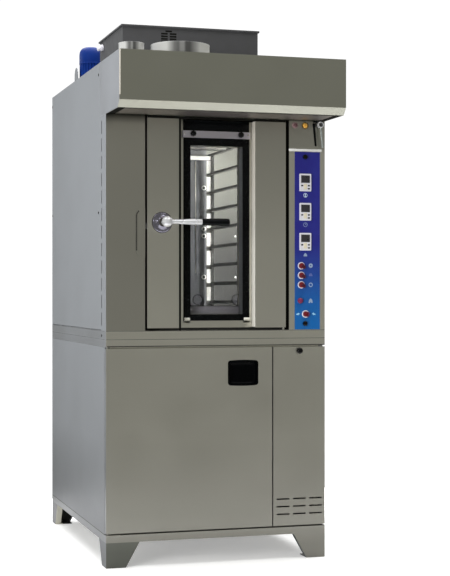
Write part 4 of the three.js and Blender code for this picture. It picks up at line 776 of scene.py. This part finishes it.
for x in CLIPS:
    add_block((x - CLIP_HALF, 41.4, 967.4), (x + CLIP_HALF, 44.9, 979), 1.0, 3)
    add_block((x - CLIP_HALF, 41.4, 967.4), (x + CLIP_HALF, 51, 975.6), 1.0, 3)
add_piece("glass_clips", satin, "oven_door")
for x in CLIPS:
    # The pale pads on the clips carry painted light.
    add_block((x - CLIP_HALF, 41, 979), (x + CLIP_HALF, 44.9, 988.6), 1.6, 3)
add_piece("glass_clip_pads", pale_painted_light, "oven_door")
for x in (404, 570):
    add_turned([(18.5, 0), (21.5, 0), (21.5, 3), (20.5, 4), (18.5, 4)], spot(x, 105, DISC_Z),
               closed=True)
add_piece("glass_spacers", pane_disc, "oven_door")
for x in (404, 570):
    add_turned([(0, 0.2), (18.4, 0.2), (18.4, 1.4), (0, 1.4)], spot(x, 105, DISC_Z), sides=40)
add_piece("glass_spacer_faces", pane_centre, "oven_door")
for x in (405, 570):
    add_turned([(20.5, 0), (22.5, 0), (22.5, 1), (20.5, 1)], spot(x, 100, DISC_Z), closed=True)
add_block((357.6, 97.6, 1033.6), (579.6, 98.9, 1036.8), 0.3)
add_piece("reveal_seal", black_rubber, "oven_door")
add_block((579.1, 50.6, 1002.6), (579.95, 98.4, 1685.4), 0.2)
add_piece("reveal_lining", reveal_sheet, "oven_door")
add_block((357.6, 98, 1002.6), (579.2, 98.95, 1033.4), 0.2)
add_piece("reveal_sill", sill_sheet, "oven_door")
for x in (331, 601):
    add_turned([(0, -0.5), (3.4, -0.5), (3.4, 0.8), (2.2, 1.8), (0, 2.0)],
               spot(x, CLAMP_FACE, CLAMP_Z), sides=20)
add_piece("clamp_bar_screws", bright, "oven_door")

# %% [markdown]
# ## Controllers
# Three digital controllers are clipped into the panel: a pale bezel with rounded corners, a dark
# display sunk into it, and small keys under the display. The bezel is one lofted outline that
# turns inwards to the sunk face, which leaves a true step for the light to catch.

# %% Bezel, display and keys
PANEL_FACE = -2
CONTROLLER_X = 833
CONTROLLER_TOPS = (1578, 1458, 1335)
CONTROLLER_HALF = (25, 36)


def add_face(left, right, bottom, top, front, back=-7, edge=0.5, steps=2):
    add_block((CONTROLLER_X + left, front, bottom), (CONTROLLER_X + right, back, top), edge,
              steps)


for number, top in enumerate(CONTROLLER_TOPS, 1):
    name = f"controller_{number}"
    bottom = top - 2 * CONTROLLER_HALF[1]
    steps = [(0, PANEL_FACE), (0, -8.2), (0.5, -8.8), (1.3, -9), (5.4, -9), (5.9, -8.2)]
    add_loft([facing(rounded_outline(*(half - inset for half in CONTROLLER_HALF), 3.2),
                     CONTROLLER_X, top - CONTROLLER_HALF[1], depth) for inset, depth in steps])
    add_face(-21, 21, bottom + 4.5, top - 4.5, -3, 60, 1)
    add_piece(name + "_bezel", white_plastic, stands_for=name)
    add_face(-19.2, 19.2, bottom + 34.4, top - 7, -8.9)
    add_piece(name + "_display", display_face)
    add_face(-8, 7, bottom + 8, bottom + 31, -8.7)
    add_piece(name + "_window", cream_plastic)
    for x, z in ((-14.6, 23), (14.4, 23), (14.4, 10.6)):
        add_face(x - 4.4, x + 4.4, bottom + z - 2.8, bottom + z + 2.8, -9.3, edge=0.8, steps=3)
    add_piece(name + "_keys", black_plastic)

# %% [markdown]
# ## Switches, push button and lamps
# The round switches are red paddles in pale rings. They are turned about an axis that leans
# eight degrees, because a switch at rest tips to its off side. The push button is a dome, and
# the selector has a rib across its face.

# %% Pale rings round the switches
ROCKERS = ((816, 1200), (816, 1161), (816, 1122))
BUTTON = (811.5, 1057)
SELECTOR = (835, 1002)
TIP = math.radians(8)


def add_ring(x, z, outer, inner, height):
    add_turned([(outer, 0), (outer, height - 0.9), (outer - 0.9, height), (inner + 0.7, height),
                (inner, height - 0.7), (inner, 0)], spot(x, PANEL_FACE, z), closed=True)


for x, z in ROCKERS:
    add_ring(x, z, 15.2, 11.2, 3.6)
add_ring(*SELECTOR, 15.5, 11.4, 3)
add_piece("switch_rings", white_plastic)

# %% Paddles, each with a tongue of shade under it
TONGUE = [(-3, -1.5), (4, -11), (13.5, -12.5), (16.5, -6), (15, 1), (7, 4)]

for number, (x, z) in enumerate(ROCKERS, 1):
    body, node = f"rocker_{number}", f"rocker_switch_{number}"
    add_turned([(0, -4), (7, -4), (10, -1), (11.2, 0.5), (11.2, 6.4), (10.4, 7.6), (9, 8),
                (6, 7.4), (0, 6.6)], spot(x, -3, z), (0, -math.cos(TIP), math.sin(TIP)))
    add_piece(node + "_paddle", red_plastic, body, node)
    add_plate(TONGUE, x, z, -9, -11.8)
    add_piece(node + "_tongue", red_shade, body, node)

# %% Push button and selector
WING = [(4, -12), (12, -11), (15.6, -4), (15.4, 4), (11, 9), (5, 9.5)]

add_turned([(0, -12), (5.5, -12), (5.5, -4), (11.6, -4), (12, -3), (12, 5), (11.2, 8.4),
            (8.8, 11.4), (5, 13), (0, 13.5)], spot(BUTTON[0], 0, BUTTON[1]))
add_piece("push_button_dome", button_plastic, "stop_button", "push_button")
add_ring(*BUTTON, 14, 12.2, 2.4)
add_piece("push_button_ring", lilac_shade)
x, z = SELECTOR
add_turned([(0, -9), (6, -9), (6, 0.4), (10.6, 0.4), (10.9, 1.5), (10.2, 9), (9.2, 11),
            (0, 11.4)], spot(x, PANEL_FACE, z))
add_block((x - 2.2, -18.5, z - 10), (x + 2.2, -12, z + 10), 1.2, 3)
add_piece("selector_knob_grip", red_plastic, "selector", "selector_knob")
add_plate(WING, x, z, -6, -9.5)
add_piece("selector_knob_wing", lilac_shade, "selector", "selector_knob")

# %% Pilot lamps: lens and rim, with their radii
LAMP_Z = 1776

for name, x, lens, rim, slot, inner, outer in (
        ("pilot_lamp_red", 790, pink_lens, pink_rim, "pink_lens", 8.4, 13),
        ("pilot_lamp_orange", 834, orange_lens, olive_rim, "orange_lens", 10.5, 14.5)):
    add_turned([(inner + 0.1, 0), (outer, 0), (outer, 1.6), (outer - 0.8, 2.8),
                (inner + 0.5, 3.2), (inner + 0.1, 2.6)], spot(x, 0, LAMP_Z), closed=True)
    add_piece(name + "_bezel", rim)
    add_turned([(0, -14), (6, -14), (6, 0), (inner, 0), (inner, 3), (inner * 0.92, 5),
                (inner * 0.72, 6.8), (inner * 0.4, 8), (0, 8.5)], spot(x, 0, LAMP_Z))
    add_piece(name + "_lens", lens, stands_for=name)

# %% [markdown]
# ## Printed signs on the panel
# Small plain signs stand beside the controls. They are thin plates rather than a texture, so the
# exported shapes keep them.

# %% Plain signs
SIGN_X = 834.5
SIDE_SIGN_X = 857.6


def add_sign(x, z, points):
    add_plate(points, x, z, PANEL_FACE, PANEL_FACE - 0.25)


def add_sign_ring(x, z, outer, inner):
    add_turned([(outer, 0), (outer, 0.25), (inner, 0.25), (inner, 0)], spot(x, PANEL_FACE, z),
               sides=32, closed=True)


add_sign_ring(SIGN_X, 1490, 9, 7)
add_sign(SIGN_X, 1490, [(-4, 6), (4, 6), (1, 0), (4, -6), (-4, -6), (-1, 0)])
add_piece("panel_hourglass", bright_ink)
add_sign_ring(SIGN_X, 1369, 9, 7.4)
add_sign(SIGN_X, 1369, [(-0.7, 0), (0.7, 0), (0.7, 5.6), (-0.7, 5.6)])
add_sign(SIGN_X, 1369, [(0.8, -0.7), (4.4, -0.7), (4.4, 0.7), (0.8, 0.7)])
add_sign(SIGN_X, 1246, [(-8, -7), (8, -7), (6.4, 1), (0, 7.5), (-6.4, 1)])
add_sign_ring(SIDE_SIGN_X, 1201, 9, 2.8)
add_sign_ring(SIDE_SIGN_X, 1122, 9, 5.6)
add_sign(SIDE_SIGN_X, 1057, [(-9, -9.5), (-3, -9.5), (0, -4), (3, -9.5), (9, -9.5), (7, 3),
                             (0, 9.5), (-7, 3)])
add_piece("panel_signs", icon_ink)
add_sign(SIDE_SIGN_X, 1163, [(-8, -5), (8, -5), (8, -1), (4, 6), (-4, 6), (-8, -1)])
add_piece("panel_fan_sign", dull_ink)
for x, lean in ((802, 1), (871, -1)):
    add_sign(x, SELECTOR[1], [(-8 * lean, -3.4), (0, -3.4), (0, -6), (8 * lean, 1.4), (0, 6.4),
                              (0, 2.6), (-6 * lean, 1.6)])
add_piece("selector_arrows", arrow_ink)

# %% [markdown]
# ## Damper lever and small hardware
# The steam damper has a chromed ring hub on a stub, with a rod that leans a little to the right.
# A dark plate beside it is the rod's painted shadow, and a black block above the hub is its mount.
# Screws, washers and pale strips with painted highlights are small turned or bevelled pieces that
# sit on the sheet that carries them.

# %% Damper lever
DAMPER = (893, 1779)
DAMPER_REACH = 22
ROD_SHADOW = ((-27, 8), (-16, 8), (-8.6, -84), (-12, -88), (-17.4, -84))

x, z = DAMPER
hub = spot(x, -DAMPER_REACH, z)
add_turned([(8.2, -9), (12.6, -8), (14, -5), (14, 4), (12.6, 7.6), (10.4, 9), (8.4, 8)], hub,
           closed=True)
add_piece("damper_lever_ring", arm_steel, "steam_damper", "damper_lever")
lean = math.radians(6)
add_turned([(0, 11), (4.9, 11), (4.6, 30), (5, 86), (4.6, 91), (2.8, 94.4), (0, 95)], hub,
           (math.sin(lean), 0, -math.cos(lean)), 32)
add_piece("damper_lever_rod", damper_steel, "steam_damper", "damper_lever")
add_turned([(0, -34), (4.3, -34), (4.3, -9), (8.3, -9), (8.3, 4), (0, 4)], hub, sides=40)
add_piece("damper_lever_core", grey_paint, "steam_damper", "damper_lever")
# A dark plate beside the rod is its painted shadow; the black block above the hub is its mount.
add_plate(ROD_SHADOW, x, z, -0.05, -0.5)
add_block((x - 24, -12, z + 12), (x + 18, -0.05, z + 19.6), 1.0)
add_piece("damper_rod_shadow_and_mount", black_gloss)

# %% Pale strips that stand for painted highlights: a lit fold under the pilot lamps and the lit right wall of the window recess
add_block((763, -1.9, 1669.8), (906, -0.02, 1680), 0.6)
add_piece("panel_head_highlight", rack_facing)
add_block((618.2, 1.2, 951), (618.98, 48.2, 1787), 0.2)
add_piece("recess_wall_highlight", pale_painted_light, "oven_door")

# %% Seams where the folded boxes meet, and painted shade: dark strips in the gaps round the doors, on the door's left stile and under the hood
BAND_SEAMS = (903.6, 936.6)
HOOD_FOOT = (1795.4, 1795.95)

for z in BAND_SEAMS:
    add_block((0.4, -0.08, z - 0.9), (919.6, -0.01, z + 0.9))
add_piece("front_seams", seam_and_painted_shade)
for z in (*BAND_SEAMS, 873.6, 129.4):
    add_block((-0.08, 27, z - 1), (-0.01, 1219.6, z + 1))
add_piece("side_seams", side_seam)
add_block((58, -0.08, 129.6), (919, -0.01, 133))
add_block((4, -0.08, 875), (919, -0.01, 878))
add_block((763.2, 0.5, 938), (763.95, 60, 1795))
# Dark plates round the hood's baffle are painted shade under the hood.
for left, front, right, back in ((3, -211, 917, -203), (3, -11, 917, -3.2),
                                 (3, -211, 32, -3.2), (888, -211, 917, -3.2)):
    add_block((left, front, HOOD_FOOT[0]), (right, back, HOOD_FOOT[1]))
add_piece("body_gaps", painted_gap_shade)
add_block((297.6, -0.4, 938), (306.4, -0.01, 1790))
add_block((167.4, -0.2, 1786.5), (749.6, -0.01, 1795))
add_piece("door_gaps", painted_gap_shade, "oven_door")

# %% Louvre slots of the drive housing, as dark plates of painted shade: four rows of two, and one above them
LOUVRE_FOOT = 2152
LOUVRE_PITCH = 11

for row in range(5):
    z = LOUVRE_FOOT + LOUVRE_PITCH * row
    for left in (331.5,) if row == 4 else (312.5, 350.5):
        add_block((left, 349.3, z - 0.8), (left + 29, 349.95, z + 6.3), 0.2)
add_piece("louvre_slot_shade", painted_gap_shade)

# %% The keeper's shaded left edge, which bends round its upper corner
PAD_LEFT = 120.5
PAD_CORNER = 30
PAD_TOP = 1424
PAD_BOTTOM = 1227

bend = [(PAD_LEFT + PAD_CORNER - reach * math.cos(math.radians(angle)),
         PAD_TOP - PAD_CORNER + reach * math.sin(math.radians(angle)))
        for reach, angles in ((PAD_CORNER - 0.2, range(0, 51, 10)),
                              (PAD_CORNER - 5, range(50, -1, -10))) for angle in angles]
foot = [(PAD_LEFT + 5, PAD_BOTTOM + PAD_CORNER), (PAD_LEFT + 0.2, PAD_BOTTOM + PAD_CORNER)]
add_plate(bend + foot, 0, 0, -3.02, -3.3)
add_piece("keeper_shade", painted_shade_and_seam)
# A pale strip on the hood's front left edge is a painted highlight of its fold.
add_block((0.1, -240.6, 1842), (5, -240.02, 2014.6), 0.3)
add_piece("hood_edge_highlight", pale_painted_light)
add_block((-0.16, 24, 128), (-0.02, 1219, 131))
add_piece("base_seam", painted_shade_and_seam)

# %% Pale facings of the rack's rear end, which the chamber lamp lights, and dark plates of painted shadow between the lit stretches
POST_LIT = ((1053, 1115), (1134, 1197), (1217, 1282), (1302, 1364), (1387, 1453),
            (1473, 1535), (1555, 1621), (1637, 1696))
REAR_FACE = (792.2, 792.9)


def add_facing(bottom, top, left=640.8, right=662.4):
    add_block((left, REAR_FACE[0], bottom), (right, REAR_FACE[1], top), 0.1)


for (_, low), (high, _) in zip(POST_LIT, POST_LIT[1:]):
    add_facing(low + 0.2, high - 0.2)
add_piece("rack_end_shade", seam_and_painted_shade, "tray_rack")
for low, high in POST_LIT:
    add_facing(low, high)
add_facing(1698.6, 1720, 256.4, 663.6)
add_piece("rack_end_facing", rack_facing, "tray_rack")
add_block((608, 870.6, 1180), (611.5, 872.9, 1700), 0.3)
add_piece("air_panel_fold", satin)

# %% Screws, washers and nuts
for y, z in ((143, 1969), (1208, 1969), (143, 1412), (1208, 1453), (84, 918)):
    add_turned([(0, -0.4), (6, -0.4), (6, 0.6), (4.8, 1.5), (2.2, 1.9), (2, 0.9), (0, 0.9)],
               spot(0, y, z), (-1, 0, 0), 20)
add_piece("side_screws", black_plastic)
WASHERS = [spot(652, 881, z) for z in (1577, 1386, 1353, 1162)]
for place in WASHERS:
    add_turned([(4.6, 0), (11, 0), (11, 1.2), (10.4, 1.8), (4.6, 1.8)], place, sides=32,
               closed=True)
for z in (1353, 1162):
    add_turned([(0, 0), (5, 0), (5, 2), (3.6, 3.2), (0, 3.4)], spot(807, 885, z), sides=20)
add_piece("air_panel_washers", rack_facing)
for place in WASHERS:
    add_turned([(0, 0.4), (7, 0.4), (7, 4), (5.6, 5.4), (0, 5.6)], place, sides=6)
add_piece("air_panel_nuts", grey_paint)

# %% [markdown]
# ## Floor, room and light
# The photograph is a cut-out on white with flat, soft light: the front mirrors a dim room, the
# bevel under the hood mirrors the pale floor, and the left side is lit cool and even. A large
# soft light overhead makes the floor white, a cool panel stands behind on the left, and a third
# light fills the front from the left. A weak, small one only puts highlights on round parts. Two
# lights burn inside the chamber: an upright strip behind the door and a lamp near the top.

# %% The floor
FLOOR_HALF = 1.6
WHITE = (1, 1, 1, 1)

finish, tree, shader = new_finish("studio_floor", Roughness=0.9, Emission_Color=WHITE)
shade = blend(tree, cloudy(tree, 0.7, 0.0, 1.0), (0.86, 0.86, 0.86), (0.9, 0.9, 0.895))
away = calculate(tree, "LENGTH", point_part(tree), kind=VECTORS, out="Value")
glow = stretch_range(tree, away, 0.7, 1.45, 0.32, 1.2)
ray = tree.nodes.new("ShaderNodeLightPath")
shown = calculate(tree, "MULTIPLY", glow, ray.outputs["Is Camera Ray"])
feed_all(shader, Base_Color=shade, Emission_Strength=shown)
bmesh.ops.create_grid(bench, x_segments=1, y_segments=1, size=FLOOR_HALF)
data = bpy.data.meshes.new("studio_floor")
bench.to_mesh(data)
bench.free()
data.materials.append(finish)
put_in_scene("studio_floor", data, (0, -0.1, -0.0005))


# %% Lights
def soft_light(name, place, aim, size, power, colour=(1, 1, 1)):
    lamp = bpy.data.lights.new(name, "AREA")
    lamp.shape = "RECTANGLE"
    lamp.size, lamp.size_y = size
    lamp.energy = power
    lamp.color = colour
    holder = put_in_scene(name, lamp, place)
    holder.rotation_euler = (Vector(aim) - Vector(place)).to_track_quat("-Z", "Y").to_euler()
    holder.visible_camera = False
    return holder


soft_light("overhead", (0.2, 0.6, 5.4), (0, 0, 0), (7, 7), 560)
soft_light("left_cool", (-4.2, 3.6, 1.7), (-0.4, 0.2, 1.2), (4.5, 4), 75, (0.93, 0.97, 1.0))
front_left = soft_light("front_left", (-3.4, -3.6, 1.5), (0, -0.4, 1.3), (2.2, 2.2), 160)
front_left.visible_glossy = False
spark = soft_light("spark", (-3.4, -3.6, 2.4), (0, -0.4, 1.6), (0.3, 0.3), 9)
spark.visible_diffuse = False
strip = soft_light("chamber_strip", spot(715, 150, 1380), spot(640, 800, 1380), (0.05, 0.72), 18,
                   (1.0, 0.99, 0.95))
strip.visible_glossy = False
lamp = bpy.data.lights.new("chamber_lamp_top", "POINT")
lamp.energy = 2.8
lamp.color = (1.0, 0.98, 0.9)
lamp.shadow_soft_size = 0.03
put_in_scene("chamber_lamp_top", lamp, spot(760, 300, 1725))

# %% The room: dim where the steel mirrors it, and white behind the oven
world = bpy.data.worlds.new("studio")
world.use_nodes = True
tree = world.node_tree
tree.nodes.clear()
leave, mix, ray, dim, white = (tree.nodes.new("ShaderNode" + kind) for kind in (
    "OutputWorld", "MixShader", "LightPath", "Background", "Background"))
feed_all(dim, Color=(0.235, 0.235, 0.215, 1))
feed_all(white, Color=WHITE, Strength=1.05)
feed_all(mix, Fac=ray.outputs["Is Camera Ray"])
feed(mix.inputs[1], dim.outputs["Background"])
feed(mix.inputs[2], white.outputs["Background"])
feed_all(leave, Surface=mix.outputs["Shader"])
bpy.context.scene.world = world

# %% [markdown]
# ## The camera
# The camera's place was solved from straight edges in the photograph. It stands at chest height
# to the left, nearly level, with a long lens, so that upright edges stay upright.

# %% Camera
TILT = -0.122
TURN = -16.738

lens = bpy.data.cameras.new("photo_camera")
lens.sensor_width = 36
lens.lens = 90.42
lens.shift_y = 0.0119
lens.clip_end = 100
camera = put_in_scene("photo_camera", lens, (-1.65435, -6.09117, 1.09339))
camera.rotation_euler = (math.radians(90 + TILT), 0, math.radians(TURN))
bpy.context.scene.camera = camera
bpy.context.scene.view_settings.view_transform = "Standard"
